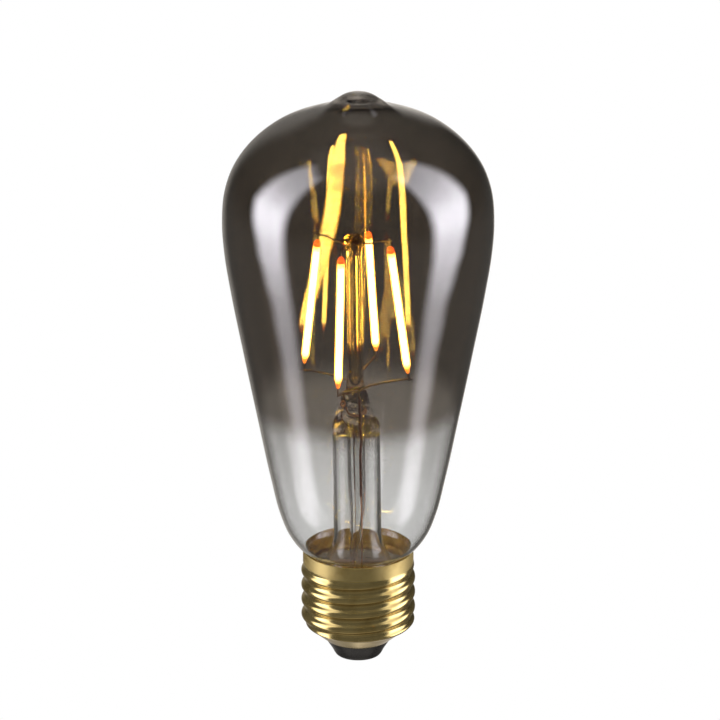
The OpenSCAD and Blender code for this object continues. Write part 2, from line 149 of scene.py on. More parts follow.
class Bench:
    """A node tree under construction."""

    def __init__(self, owner: bpy.types.Material | bpy.types.World) -> None:
        """Empties a material's or a world's tree and gets ready to build in it.

        Args:
            owner: the material or the world.
        """
        owner.use_nodes = True
        self.tree = owner.node_tree
        self.tree.nodes.clear()
        is_world = isinstance(owner, bpy.types.World)
        self.output_kind = "ShaderNodeOutputWorld" if is_world else "ShaderNodeOutputMaterial"

    def node(
        self,
        kind: str,
        settings: Mapping[str, object] | None = None,
        inputs: Mapping[str | int, object] | None = None,
        output: str | int = 0,
    ) -> Signal:
        """Adds a node.

        Args:
            kind: the node's type.
            settings: its properties, and a colour ramp's stops under "stops".
            inputs: a value or a signal for each socket, by name or by number.
            output: the socket to return.

        Returns:
            The node's output.
        """
        made = self.tree.nodes.new(kind)
        for name, value in (settings or {}).items():
            if name == "stops":
                self._fill_ramp(made.color_ramp, value)
            else:
                setattr(made, name, value)
        for name, value in (inputs or {}).items():
            socket = made.inputs[name]
            if isinstance(value, Signal):
                self.tree.links.new(value.socket, socket)
            elif socket.type == "RGBA" and len(value) == 3:
                socket.default_value = (*value, 1.0)
            else:
                socket.default_value = value
        return Signal(self, made.outputs[output])

    @staticmethod
    def _fill_ramp(ramp: bpy.types.ColorRamp, stops: Sequence[tuple[float, Colour]]) -> None:
        """Sets a colour ramp's stops.

        Args:
            ramp: the ramp.
            stops: the place and the colour of each stop.
        """
        while len(ramp.elements) < len(stops):
            ramp.elements.new(1.0)
        for element, (place, colour) in zip(ramp.elements, stops, strict=True):
            element.position = place
            element.color = (*colour, 1.0)

    def place(self) -> Signal:
        """Object coordinates, in metres."""
        return self.node("ShaderNodeTexCoord", output="Object")

    def along(self, axis: str) -> Signal:
        """One of the object coordinates in millimetres, by its letter."""
        split = self.node("ShaderNodeSeparateXYZ", inputs={0: self.place()}, output=axis)
        return split * (1 / MM)

    def noise(self, grain: float, detail: float = 4.0, stretch: Colour = (1, 1, 1)) -> Signal:
        """Noise over the piece.

        Args:
            grain: the size of a patch in millimetres.
            detail: how many finer layers it has.
            stretch: how much the pattern is squeezed along each axis.

        Returns:
            A value around a half.
        """
        vector = self.node("ShaderNodeMapping", inputs={"Vector": self.place(), "Scale": stretch})
        return self.node(
            "ShaderNodeTexNoise",
            inputs={"Vector": vector, "Scale": 1 / (grain * MM), "Detail": detail},
        )

    def blend(self, share: Signal | float, first: object, second: object) -> Signal:
        """A mix of two colours, all second where share is 1."""
        return self.node(
            "ShaderNodeMix",
            {"data_type": "RGBA"},
            {0: share, 6: first, 7: second},
            output=2,
        )

    def ramp(self, value: Signal, *stops: tuple[float, Colour]) -> Signal:
        """Colours along a value."""
        return self.node("ShaderNodeValToRGB", {"stops": stops}, {0: value})

    def bump(self, height: Signal, strength: float, distance: float) -> Signal:
        """A normal from a height.

        Args:
            height: the height, from 0 to 1.
            strength: how strong the relief looks.
            distance: the relief's full height in millimetres.

        Returns:
            The normal.
        """
        return self.node(
            "ShaderNodeBump",
            inputs={"Height": height, "Strength": strength, "Distance": distance * MM},
        )

    def mix(self, share: Signal | float, first: Signal, second: Signal) -> Signal:
        """A mix of two shaders, all second where share is 1."""
        return self.node("ShaderNodeMixShader", inputs={0: share, 1: first, 2: second})

    def light_path(self, output: str) -> Signal:
        """One output of the Light Path node."""
        return self.node("ShaderNodeLightPath", output=output)

    def bounced(self) -> Signal:
        """At least 1 for a ray that a surface has mirrored or scattered, and 0 for a straight one."""
        return self.light_path("Diffuse Depth").above(0.5) + self.light_path("Glossy Depth").above(0.5)

    def principled(self, inputs: Mapping[str, object]) -> Signal:
        """A Principled shader."""
        return self.node("ShaderNodeBsdfPrincipled", inputs=inputs)

    def surface(self, shader: Signal) -> None:
        """Joins a shader to the tree's output."""
        made = self.tree.nodes.new(self.output_kind)
        self.tree.links.new(shader.socket, made.inputs["Surface"])


# ---- Finishes


@dataclass(frozen=True)
class Finish:
    """A finish that can be made into a material.

    Attributes:
        name: the material's name.
    """

    name: str

    def material(self) -> bpy.types.Material:
        """Makes the finish's material once, and then shares it.

        Returns:
            The material.
        """
        made = bpy.data.materials.get(self.name)
        if made is None:
            made = bpy.data.materials.new(self.name)
            self.build(Bench(made))
        return made

    def build(self, bench: Bench) -> None:
        """Builds the nodes.

        Args:
            bench: the material's tree.
        """
        raise NotImplementedError


@dataclass(frozen=True)
class Metal(Finish):
    """Bare or plated metal with soft stains and a fine brushed or drawn grain.

    Attributes:
        colour: the clean metal.
        stain: the colour of its stains.
        roughness: the lowest and the highest roughness.
        patch: the size of a stain in millimetres.
        grain: the size of the fine grain in millimetres.
        stretch: how the grain is squeezed along each axis.
        relief: the height of the grain in millimetres.
        satin_z: the height in millimetres above which its gloss is rubbed down.
        satin: how much roughness the rubbing adds.
        lacquer: how far a thin lacquer dulls its mirror.
    """

    colour: Colour
    stain: Colour
    roughness: tuple[float, float] = (0.2, 0.34)
    patch: float = 3.0
    grain: float = 0.25
    stretch: Colour = (1, 1, 1)
    relief: float = 0.004
    satin_z: float = 1000.0
    satin: float = 0.3
    lacquer: float = 0.0

    def build(self, bench: Bench) -> None:
        """Builds the nodes.

        Args:
            bench: the material's tree.
        """
        patches = bench.noise(self.patch, 5.0)
        grain = bench.noise(self.grain, 3.0, self.stretch)
        low, high = self.roughness
        rubbed = self.satin * bench.along("Z").rise(self.satin_z, self.satin_z + 1)
        bench.surface(
            bench.principled(
                {
                    "Base Color": bench.blend(patches.rise(0.45, 0.72), self.colour, self.stain),
                    "Metallic": 1.0 - self.lacquer,
                    "Roughness": low + (high - low) * (0.6 * patches + 0.4 * grain) + rubbed,
                    "Normal": bench.bump(grain, 0.5, self.relief),
                }
            )
        )


@dataclass(frozen=True)
class CrumpledBrass(Finish):
    """The inside of the shell: dull brass, creased into facets by the drawing.

    Attributes:
        bright: the colour of a clean facet.
        dull: the colour of a heat-stained facet.
        facet: the size of a facet in millimetres.
        relief: the height of the creases in millimetres.
        metallic: how metallic the tarnish leaves it.
    """

    bright: Colour = (1.0, 0.66, 0.2)
    dull: Colour = (0.72, 0.4, 0.11)
    facet: float = 3.6
    relief: float = 1.1
    metallic: float = 0.45

    def build(self, bench: Bench) -> None:
        """Builds the nodes.

        Args:
            bench: the material's tree.
        """
        warp = bench.node("ShaderNodeMapping", inputs={"Vector": bench.place(), "Scale": (1, 1, 0.6)})
        creases = bench.node(
            "ShaderNodeTexVoronoi",
            {"feature": "F1"},
            {"Vector": warp, "Scale": 1 / (self.facet * MM)},
            output="Distance",
        )
        stains = bench.noise(2.0, 4.0)
        bench.surface(
            bench.principled(
                {
                    "Base Color": bench.blend(stains.rise(0.38, 0.66), self.bright, self.dull),
                    "Metallic": self.metallic,
                    "Roughness": 0.2 + 0.22 * stains,
                    "Normal": bench.bump(creases, 0.9, self.relief),
                }
            )
        )


@dataclass(frozen=True)
class Moulded(Finish):
    """Plastic, glass enamel, ceramic, fibre or lacquer: solid, with mottling and a grain.

    Attributes:
        colour: the main colour.
        mottle: the colour of its patches.
        roughness: the lowest and the highest roughness.
        patch: the size of a patch in millimetres.
        grain: the size of the grain in millimetres.
        relief: the height of the grain in millimetres.
        stretch: how the grain is squeezed along each axis.
        shine: the weight of its clear coat.
    """

    colour: Colour
    mottle: Colour
    roughness: tuple[float, float] = (0.35, 0.55)
    patch: float = 1.5
    grain: float = 0.2
    relief: float = 0.01
    stretch: Colour = (1, 1, 1)
    shine: float = 0.0

    def build(self, bench: Bench) -> None:
        """Builds the nodes.

        Args:
            bench: the material's tree.
        """
        patches = bench.noise(self.patch, 4.0)
        grain = bench.noise(self.grain, 3.0, self.stretch)
        low, high = self.roughness
        bench.surface(
            bench.principled(
                {
                    "Base Color": bench.blend(patches.rise(0.4, 0.68), self.colour, self.mottle),
                    "Roughness": low + (high - low) * grain,
                    "Coat Weight": self.shine,
                    "Normal": bench.bump(grain, 0.5, self.relief),
                }
            )
        )


@dataclass(frozen=True)
class CircuitBoard(Finish):
    """Solder mask over copper tracks.

    Attributes:
        mask: the colour of the solder mask.
        track: the mask's colour where a copper track runs beneath it.
        pitch: the spacing of the tracks in millimetres.
    """

    mask: Colour
    track: Colour
    pitch: float = 1.3

    def build(self, bench: Bench) -> None:
        """Builds the nodes.

        Args:
            bench: the material's tree.
        """
        bend = bench.noise(6.0, 0.0)
        tracks = ((bench.along("X") + 3 * bend) * (math.tau / self.pitch)).sine().rise(0.2, 0.5)
        grain = bench.noise(0.3, 3.0)
        bench.surface(
            bench.principled(
                {
                    "Base Color": bench.blend(tracks, self.mask, self.track),
                    "Roughness": 0.3 + 0.2 * grain,
                    "Coat Weight": 0.4,
                    "Normal": bench.bump(tracks + 0.2 * grain, 0.4, 0.035),
                }
            )
        )


def clear_to_lamps(bench: Bench, seen: Signal, passed: Colour) -> Signal:
    """Glass that lamps shine through.

    Args:
        bench: the material's tree.
        seen: the glass as it looks.
        passed: the share of a lamp's light that one surface lets through.

    Returns:
        The shader.
    """
    window = bench.node("ShaderNodeBsdfTransparent", inputs={"Color": passed})
    return bench.mix(bench.light_path("Is Shadow Ray"), seen, window)


@dataclass(frozen=True)
class ClearGlass(Finish):
    """Blown or drawn glass with slow waves in its surface.

    Attributes:
        tint: the glass's own colour at one surface.
        wave: the length of its waves in millimetres.
        relief: their height in millimetres.
        stretch: how the waves are squeezed along each axis.
        passed: the share of a lamp's light that one surface lets through.
    """

    tint: Colour = (0.985, 0.99, 0.985)
    wave: float = 16.0
    relief: float = 0.012
    stretch: Colour = (1, 1, 0.4)
    passed: Colour = (0.95, 0.95, 0.95)

    def build(self, bench: Bench) -> None:
        """Builds the nodes.

        Args:
            bench: the material's tree.
        """
        waves = bench.bump(bench.noise(self.wave, 1.0, self.stretch), 1.0, self.relief)
        glass = bench.node(
            "ShaderNodeBsdfGlass",
            inputs={"Color": self.tint, "Roughness": 0.0, "IOR": GLASS_IOR, "Normal": waves},
        )
        bench.surface(clear_to_lamps(bench, glass, self.passed))


@dataclass(frozen=True)
class SmokedCoat(Finish):
    """The smoke-grey mirror film on the inside of the glass, which fades out below.

    Attributes:
        film: what one wall passes where the film is full.
        thin: what one wall passes where the film has faded.
        full_z: the height above which the film is full, in millimetres.
        fade_z: the height where its sharp edge ends.
        clear_z: the height where the last haze ends.
        dome_z: the heights between which it thins a little towards the tip.
        dome_loss: how much of the film is gone at the upper of them.
        drift: how far up or down the fade wanders, in millimetres.
        mirror: the share that the full film reflects.
        faded_mirror: the share that the thin film reflects.
        silver: the colour of what it reflects.
        passed: the share of a lamp's light that one surface lets through.
    """

    film: Colour = (0.222, 0.193, 0.162)
    thin: Colour = (0.84, 0.835, 0.83)
    full_z: float = 66.0
    fade_z: float = 58.0
    clear_z: float = 36.0
    dome_z: tuple[float, float] = (108.0, 130.0)
    dome_loss: float = 0.09
    drift: float = 5.0
    mirror: float = 0.14
    faded_mirror: float = 0.03
    silver: Colour = (0.95, 0.94, 0.97)
    passed: Colour = (0.6, 0.59, 0.58)

    def build(self, bench: Bench) -> None:
        """Builds the nodes.

        Args:
            bench: the material's tree.
        """
        height = bench.along("Z") + self.drift * (bench.noise(16.0, 2.0) - 0.5)
        edge = height.rise(self.fade_z, self.full_z)
        haze = height.rise(self.clear_z, self.full_z)
        cover = 0.7 * edge + 0.3 * haze
        cover -= self.dome_loss * height.rise(*self.dome_z)
        shaders = [
            bench.node("ShaderNodeBsdfGlass", inputs={"Color": c, "Roughness": 0.0, "IOR": GLASS_IOR})
            for c in (self.thin, self.film)
        ]
        mirror = bench.node(
            "ShaderNodeBsdfAnisotropic",
            inputs={"Color": self.silver, "Roughness": 0.0},
        )
        share = self.faded_mirror + (self.mirror - self.faded_mirror) * cover
        seen = bench.mix(share, bench.mix(cover, *shaders), mirror)
        bench.surface(clear_to_lamps(bench, seen, self.passed))


@dataclass(frozen=True)
class Glow(Finish):
    """A lit filament's phosphor, cooler at both ends, with a band over each chip.

    Attributes:
        hot: the colour along the lit length.
        low_end: the colour at the lower end.
        high_end: the colour at the upper end.
        strength: how brightly it shines.
        cover: how much of what is behind it the layer hides.
        chips: the number of chips beneath it.
        cut: the shares of the length at which the cool ends stop.
        lit: the shares of the length between which it is all hot.
        gap: the tint between two chips.
    """

    hot: Colour = (1, 1, 1)
    low_end: Colour = (1, 1, 1)
    high_end: Colour = (1, 1, 1)
    strength: float = 1.0
    cover: float = 1.0
    chips: int = 28
    cut: tuple[float, float] = (0.045, 0.95)
    lit: tuple[float, float] = (0.1, 0.895)
    gap: Colour = (0.7, 0.62, 0.85)

    def build(self, bench: Bench) -> None:
        """Builds the nodes.

        Args:
            bench: the material's tree.
        """
        along = bench.node("ShaderNodeAttribute", {"attribute_name": "along"}, output="Fac")
        bands = (along * (math.tau * self.chips)).sine().rise(-0.9, 0.9)
        colour = bench.ramp(
            along,
            (0.0, self.low_end),
            (self.cut[0], self.low_end),
            (self.lit[0], self.hot),
            (self.lit[1], self.hot),
            (self.cut[1], self.high_end),
            (1.0, self.high_end),
        )
        dimmed = bench.node(
            "ShaderNodeMix",
            {"data_type": "RGBA", "blend_type": "MULTIPLY"},
            {0: 1.0, 6: colour, 7: bench.ramp(bands, (0.0, self.gap), (1.0, (1, 1, 1)))},
            output=2,
        )
        lit = bench.principled(
            {
                "Base Color": bench.blend(bands, (0.9, 0.55, 0.1), (1.0, 0.72, 0.2)),
                "Roughness": 0.4 + 0.2 * bench.noise(0.4),
                "Emission Color": dimmed,
                "Emission Strength": self.strength,
            }
        )
        if self.cover < 1:
            lit = bench.mix(self.cover, bench.node("ShaderNodeBsdfTransparent"), lit)
        bench.surface(lit)


BRASS = Metal(
    "drawn_brass",
    (0.52, 0.4, 0.16),
    (0.4, 0.29, 0.1),
    (0.12, 0.2),
    patch=4.0,
    grain=0.3,
    satin_z=22.6,
    lacquer=0.07,
)
BRASS_INSIDE = CrumpledBrass("brass_inside")
CONTACT_BRASS = Metal("contact_brass", (0.85, 0.68, 0.36), (0.6, 0.46, 0.25), (0.22, 0.4), 1.2, 0.15)
NICKEL = Metal("nickel_wire", (0.34, 0.27, 0.23), (0.18, 0.12, 0.09), (0.25, 0.42), 1.2, 0.12)
TAB_STEEL = Metal("tab_metal", (0.42, 0.37, 0.32), (0.24, 0.18, 0.14), (0.25, 0.4), 0.8, 0.1)
DUMET = Metal("dumet", (0.26, 0.12, 0.08), (0.1, 0.05, 0.035), (0.25, 0.4), 0.9, 0.1)
COPPER = Metal("copper_wire", (0.83, 0.45, 0.27), (0.5, 0.24, 0.14), (0.25, 0.4), 1.0, 0.1)
PRINTED_COPPER = Metal("printed_copper", (0.85, 0.5, 0.28), (0.7, 0.36, 0.2), (0.25, 0.4), 0.8, 0.1)
TIN = Metal("shield_steel", (0.72, 0.72, 0.73), (0.55, 0.55, 0.57), (0.25, 0.4), 1.5, 0.2, (1, 6, 1))
CRYSTAL_CAN = Metal("crystal_can", (0.78, 0.77, 0.74), (0.6, 0.58, 0.54), (0.2, 0.35), 0.8, 0.15)

BLACK_GLASS = Moulded("cap_glass", (0.008, 0.007, 0.007), (0.014, 0.013, 0.012), (0.2, 0.35), shine=0.1)
CEMENT = Moulded("cement", (0.55, 0.46, 0.33), (0.4, 0.32, 0.22), (0.8, 0.95), 0.7, 0.18, 0.06)
SLEEVE = Moulded("sleeve_polymer", (0.83, 0.83, 0.8), (0.76, 0.75, 0.7), (0.4, 0.5), 3.0, 0.4)
FIBRE = Moulded("disc_fibre", (0.13, 0.075, 0.045), (0.05, 0.03, 0.022), (0.6, 0.85), 1.2, 0.12, 0.05)
RED_PVC = Moulded("red_insulation", (0.55, 0.03, 0.02), (0.42, 0.02, 0.02), (0.3, 0.45))
BLACK_PVC = Moulded("black_insulation", (0.02, 0.02, 0.022), (0.04, 0.04, 0.042), (0.3, 0.45))
CAPACITOR = Moulded("capacitor_sleeve", (0.03, 0.035, 0.06), (0.05, 0.055, 0.08), (0.25, 0.35), shine=0.3)
FERRITE = Moulded("ferrite", (0.035, 0.033, 0.034), (0.07, 0.066, 0.064), (0.5, 0.7), 0.5, 0.1, 0.02)
EPOXY = Moulded("moulded_epoxy", (0.018, 0.018, 0.02), (0.035, 0.034, 0.034), (0.55, 0.75), 0.6, 0.06)
RESISTOR = Moulded("resistor_body", (0.16, 0.3, 0.17), (0.1, 0.22, 0.12), (0.35, 0.5), shine=0.3)
CERAMIC = Moulded("ceramic_chip", (0.42, 0.3, 0.19), (0.6, 0.56, 0.5), (0.35, 0.5), 0.9, 0.08)
CARRIER = Moulded("carrier", (0.85, 0.84, 0.78), (0.76, 0.74, 0.66), (0.45, 0.6), 0.5, 0.08)
LED_CHIP = Moulded("led_chip", (0.16, 0.25, 0.6), (0.45, 0.55, 0.8), (0.1, 0.25), 0.4, 0.08, shine=0.5)
GREEN_BOARD = CircuitBoard("circuit_board", (0.015, 0.12, 0.05), (0.03, 0.2, 0.08))
BLUE_BOARD = CircuitBoard("radio_circuit_board", (0.01, 0.05, 0.16), (0.02, 0.09, 0.24), 0.8)

OUTER_GLASS = ClearGlass("smoked_glass")
INNER_COAT = SmokedCoat("smoke_film")
STEM_GLASS = ClearGlass("clear_glass", (0.955, 0.955, 0.95), 5.0, 0.04, (1, 1, 0.3))
ROD_GLASS = ClearGlass("rod_glass", (0.97, 0.92, 0.8), 2.0, 0.02, (1, 1, 0.12))
BEAD_GLASS = ClearGlass("bead_glass", (0.93, 0.74, 0.42), 0.9, 0.12, (1, 1, 1))
PHOSPHOR_SKIN = Glow(
    "phosphor_skin", (1.0, 0.46, 0.01), (0.5, 0.13, 0.005), (0.4, 0.033, 0.0), 16.0, 0.3
)
PHOSPHOR_CORE = Glow(
    "phosphor_core", (1.0, 0.86, 0.17), (0.1, 0.028, 0.002), (0.08, 0.006, 0.0), 80.0
)


# ---- Shapes


def tangent(points: Sequence[Vector], i: int, first: Vector, last: Vector) -> Vector:
    """Direction of a smooth curve at one of its points, which lie at uneven distances.

    Args:
        points: the curve's points.
        i: the number of the point.
        first: the direction at the first point.
        last: the direction at the last point.

    Returns:
        The tangent, per unit of distance.
    """
    if i == 0:
        return first
    if i == len(points) - 1:
        return last
    before = points[i] - points[i - 1]
    after = points[i + 1] - points[i]
    b, a = before.length, after.length
    return (before / b * a + after / a * b) / (a + b)


def smooth(
    points: Sequence[Sequence[float]], first: Sequence[float], last: Sequence[float], steps: int
) -> list[Vector]:
    """Points along the smooth curve through some stations.

    Args:
        points: the stations.
        first: the direction at the first station.
        last: the direction at the last station.
        steps: the number of steps between two stations.

    Returns:
        The points, the last station included.
    """
    p = [Vector(v) for v in points]
    ends = Vector(first), Vector(last)
    made = []
    for i in range(len(p) - 1):
        reach = (p[i + 1] - p[i]).length
        start, stop = tangent(p, i, *ends), tangent(p, i + 1, *ends)
        for k in range(steps):
            s = k / steps
            made.append(
                (2 * s**3 - 3 * s**2 + 1) * p[i]
                + (s**3 - 2 * s**2 + s) * reach * start
                + (3 * s**2 - 2 * s**3) * p[i + 1]
                + (s**3 - s**2) * reach * stop
            )
    return [*made, p[-1]]


def smooth_path(points: Sequence[Sequence[float]], steps: int = 5) -> list[Vector]:
    """The smooth curve through some stations, with straight ends."""
    p = [Vector(v) for v in points]
    return smooth(p, (p[1] - p[0]).normalized(), (p[-1] - p[-2]).normalized(), steps)


def heading(points: Sequence[Vector], i: int) -> Vector:
    """Direction of a path at one of its points."""
    return (points[min(i + 1, len(points) - 1)] - points[max(i - 1, 0)]).normalized()


def ramp(value: float, low: float, high: float) -> float:
    """A soft step from 0 at low to 1 at high."""
    s = min(1.0, max(0.0, (value - low) / (high - low)))
    return s * s * (3 - 2 * s)


def turned(
    profile: Iterable[Sequence[float]], steps: int, loop: bool, mark: str = ""
) -> bmesh.types.BMesh:
    """A body of revolution about the Z axis.

    Args:
        profile: its radius and height at each point, and the point's mark where there is one.
        steps: the number of steps round it.
        loop: whether the profile closes on itself.
        mark: the name of the vertex layer that takes the marks.

    Returns:
        The body, with seams and poles closed and its faces outwards.
    """
    bm = bmesh.new()
    layer = bm.verts.layers.float.new(mark) if mark else None
    verts = []
    for p in profile:
        verts.append(bm.verts.new((p[0], 0, p[1])))
        if layer:
            verts[-1][layer] = p[2]
    edges = [bm.edges.new(pair) for pair in zip(verts, verts[1:])]
    if loop:
        edges.append(bm.edges.new((verts[-1], verts[0])))
    bmesh.ops.spin(
        bm,
        geom=verts + edges,
        cent=(0, 0, 0),
        axis=(0, 0, 1),
        angle=math.tau,
        steps=steps,
        use_merge=True,
    )
    bmesh.ops.remove_doubles(bm, verts=bm.verts, dist=1e-4)
    bmesh.ops.recalc_face_normals(bm, faces=bm.faces)
    return bm


def swept(path: Sequence[Vector], radius: Callable[[float], float], sides: int = 12) -> bmesh.types.BMesh:
    """A round rod along a path.

    Args:
        path: the points that it follows.
        radius: its radius at each share of the path.
        sides: the number of its sides.

    Returns:
        The closed rod.
    """
    bm = bmesh.new()
    side = Vector((1, 0, 0)) if abs(heading(path, 0).x) < 0.8 else Vector((0, 1, 0))
    frames = []
    for i, point in enumerate(path):
        t = heading(path, i)
        side = (side - side.dot(t) * t).normalized()
        turn = Matrix((side, t.cross(side), t)).transposed().to_4x4()
        size = radius(i / (len(path) - 1))
        frames.append(Matrix.Translation(point) @ turn @ Matrix.Diagonal((size, size, 1, 1)))
    bmesh.ops.create_circle(bm, cap_ends=True, segments=sides, radius=1, matrix=frames[0])
    cap = bm.faces[:]
    for before, after in zip(frames, frames[1:]):
        made = bmesh.ops.extrude_face_region(bm, geom=cap)["geom"]
        cap = [g for g in made if isinstance(g, bmesh.types.BMFace)]
        verts = [g for g in made if isinstance(g, bmesh.types.BMVert)]
        bmesh.ops.transform(bm, matrix=after @ before.inverted(), verts=verts)
    bmesh.ops.recalc_face_normals(bm, faces=bm.faces)
    return bm


def bevelled_block(size: Sequence[float], edge: float) -> bmesh.types.BMesh:
    """A block with rounded edges, centred on the origin.

    Args:
        size: its width, depth and height.
        edge: how much of each edge is rounded away.

    Returns:
        The block.
    """
    bm = bmesh.new()
    bmesh.ops.create_cube(bm, size=1)
    bmesh.ops.scale(bm, vec=size, verts=bm.verts)
    bmesh.ops.bevel(
        bm,
        geom=bm.edges[:],
        offset=edge,
        offset_type="OFFSET",
        affect="EDGES",
        segments=2,
        profile=0.5,
        material=-1,
    )
    return bm


def drop(centre: Vector, size: Sequence[float]) -> bmesh.types.BMesh:
    """A rounded blob of melted metal.

    Args:
        centre: its middle.
        size: its half widths.

    Returns:
        The blob.
    """
    bm = bmesh.new()
    bmesh.ops.create_icosphere(bm, subdivisions=3, radius=1)
    place = Matrix.Translation(centre) @ Matrix.Diagonal((*size, 1))
    bmesh.ops.transform(bm, matrix=place, verts=bm.verts)
    return bm


def joined(*parts: bmesh.types.BMesh) -> bmesh.types.BMesh:
    """One mesh of several.

    Args:
        parts: the meshes, which are used up.

    Returns:
        The whole.
    """
    whole = bmesh.new()
    for part in parts:
        mesh = bpy.data.meshes.new("part")
        part.to_mesh(mesh)
        part.free()
        whole.from_mesh(mesh)
        bpy.data.meshes.remove(mesh)
    return whole


def finished(
    bm: bmesh.types.BMesh,
    name: str,
    finishes: Sequence[Finish],
    replaces: Sequence[str] = (),
    crease: float = 40.0,
) -> bpy.types.Object:
    """Turns a mesh in millimetres into a piece that rides on the bulb.

    Args:
        bm: the mesh, which is used up.
        name: the piece's name.
        finishes: the finish of each material number.
        replaces: the CAD nodes that the piece stands for.
        crease: the angle in degrees past which an edge looks sharp.

    Returns:
        The piece.
    """
    bmesh.ops.scale(bm, vec=(MM, MM, MM), verts=bm.verts)
    mesh = bpy.data.meshes.new(name)
    bm.to_mesh(mesh)
    bm.free()
    mesh.shade_smooth()
    mesh.set_sharp_from_angle(angle=math.radians(crease))
    for finish in finishes:
        mesh.materials.append(finish.material())
    piece = bpy.data.objects.new(name, mesh)
    bpy.context.scene.collection.objects.link(piece)
    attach(piece, BODY)
    if replaces:
        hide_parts(*replaces)
    log.info("%s: %d faces", name, len(mesh.polygons))
    return piece


# ---- Glass envelope


@dataclass
class Envelope:
    """The tapered glass with its sealed tip and its smoked lining.

    Attributes:
        height: the height of the tip above the contact.
        widest: the largest radius.
        wall: the thickness of the glass.
        tip: how far the tip stands above the dome.
        rim: the height of the cap's rim.
        neck: the radius of the neck.
        foot: the height of the neck's lower end.
        tip_hollow: how far the inside can rise into the tip.
        steps: the number of steps round it.
    """

    height: float = 137.0
    widest: float = 30.8
    wall: float = 0.75
    tip: float = 3.5
    rim: float = 26.4
    neck: float = 11.5
    foot: float = 19.0
    tip_hollow: float = 5.0
    steps: int = 144

    def outline(self) -> list[Vector]:
        """The outside, from the neck's foot up to the tip.

        Returns:
            The radius and the height at each point.
        """
        rise = self.height - self.tip - self.rim
        shares = [
            (0.441, 0.010), (0.524, 0.043), (0.588, 0.090), (0.649, 0.164), (0.754, 0.314),
            (0.855, 0.463), (0.940, 0.594), (0.988, 0.687), (1, 0.743), (0.976, 0.818),
            (0.931, 0.855), (0.864, 0.887), (0.649, 0.946), (0.390, 0.981),
        ]  # fmt: skip
        neck = [(self.neck, self.foot), (self.neck, self.rim - 2.4), (self.neck + 0.55, self.rim - 0.2)]
        taper = [(self.widest * r, self.rim + rise * z) for r, z in shares]
        dome = self.height - self.tip
        tip = [(8, dome - 0.4), (5.5, dome + 1.46), (3, dome + 3.02), (0, self.height)]
        return smooth([*neck, *taper, *tip], (0, 1), (-1, 0), 6)

    def bore(self, outer: Sequence[Vector]) -> list[Vector]:
        """The inside, which is even but for the tip, where the glass has drawn together.

        Args:
            outer: the outside's points.

        Returns:
            The inside's points, in the same order.
        """
        made = []
        tip_foot = self.height - self.tip - 0.9
        for i, p in enumerate(outer):
            t = heading(outer, i)
            inward = Vector((-t.y, t.x))
            if i == 0:
                inward = Vector((-1, 0))
            if i == len(outer) - 1:
                inward = Vector((0, -1))
            q = p + self.wall * inward
            above = q.y - tip_foot
            if above > 0:
                q.y = tip_foot + self.tip_hollow * (1 - math.exp(-above / self.tip_hollow))
            made.append(Vector((max(0.0, q.x), q.y)))
        return made

    def build(self) -> None:
        """Builds the glass as one wall with its lining on the inner face."""
        outer = self.outline()
        inner = self.bore(outer)
        profile = [(*p, 0.0) for p in reversed(outer)] + [(*p, 1.0) for p in inner]
        bm = turned(profile, self.steps, False, "lining")
        lining = bm.verts.layers.float["lining"]
        for face in bm.faces:
            face.material_index = int(all(v[lining] > 0.5 for v in face.verts))
        finished(
            bm, "envelope_glass", [OUTER_GLASS, INNER_COAT], ["glass_envelope"], 60
        )


# ---- Stem and mount


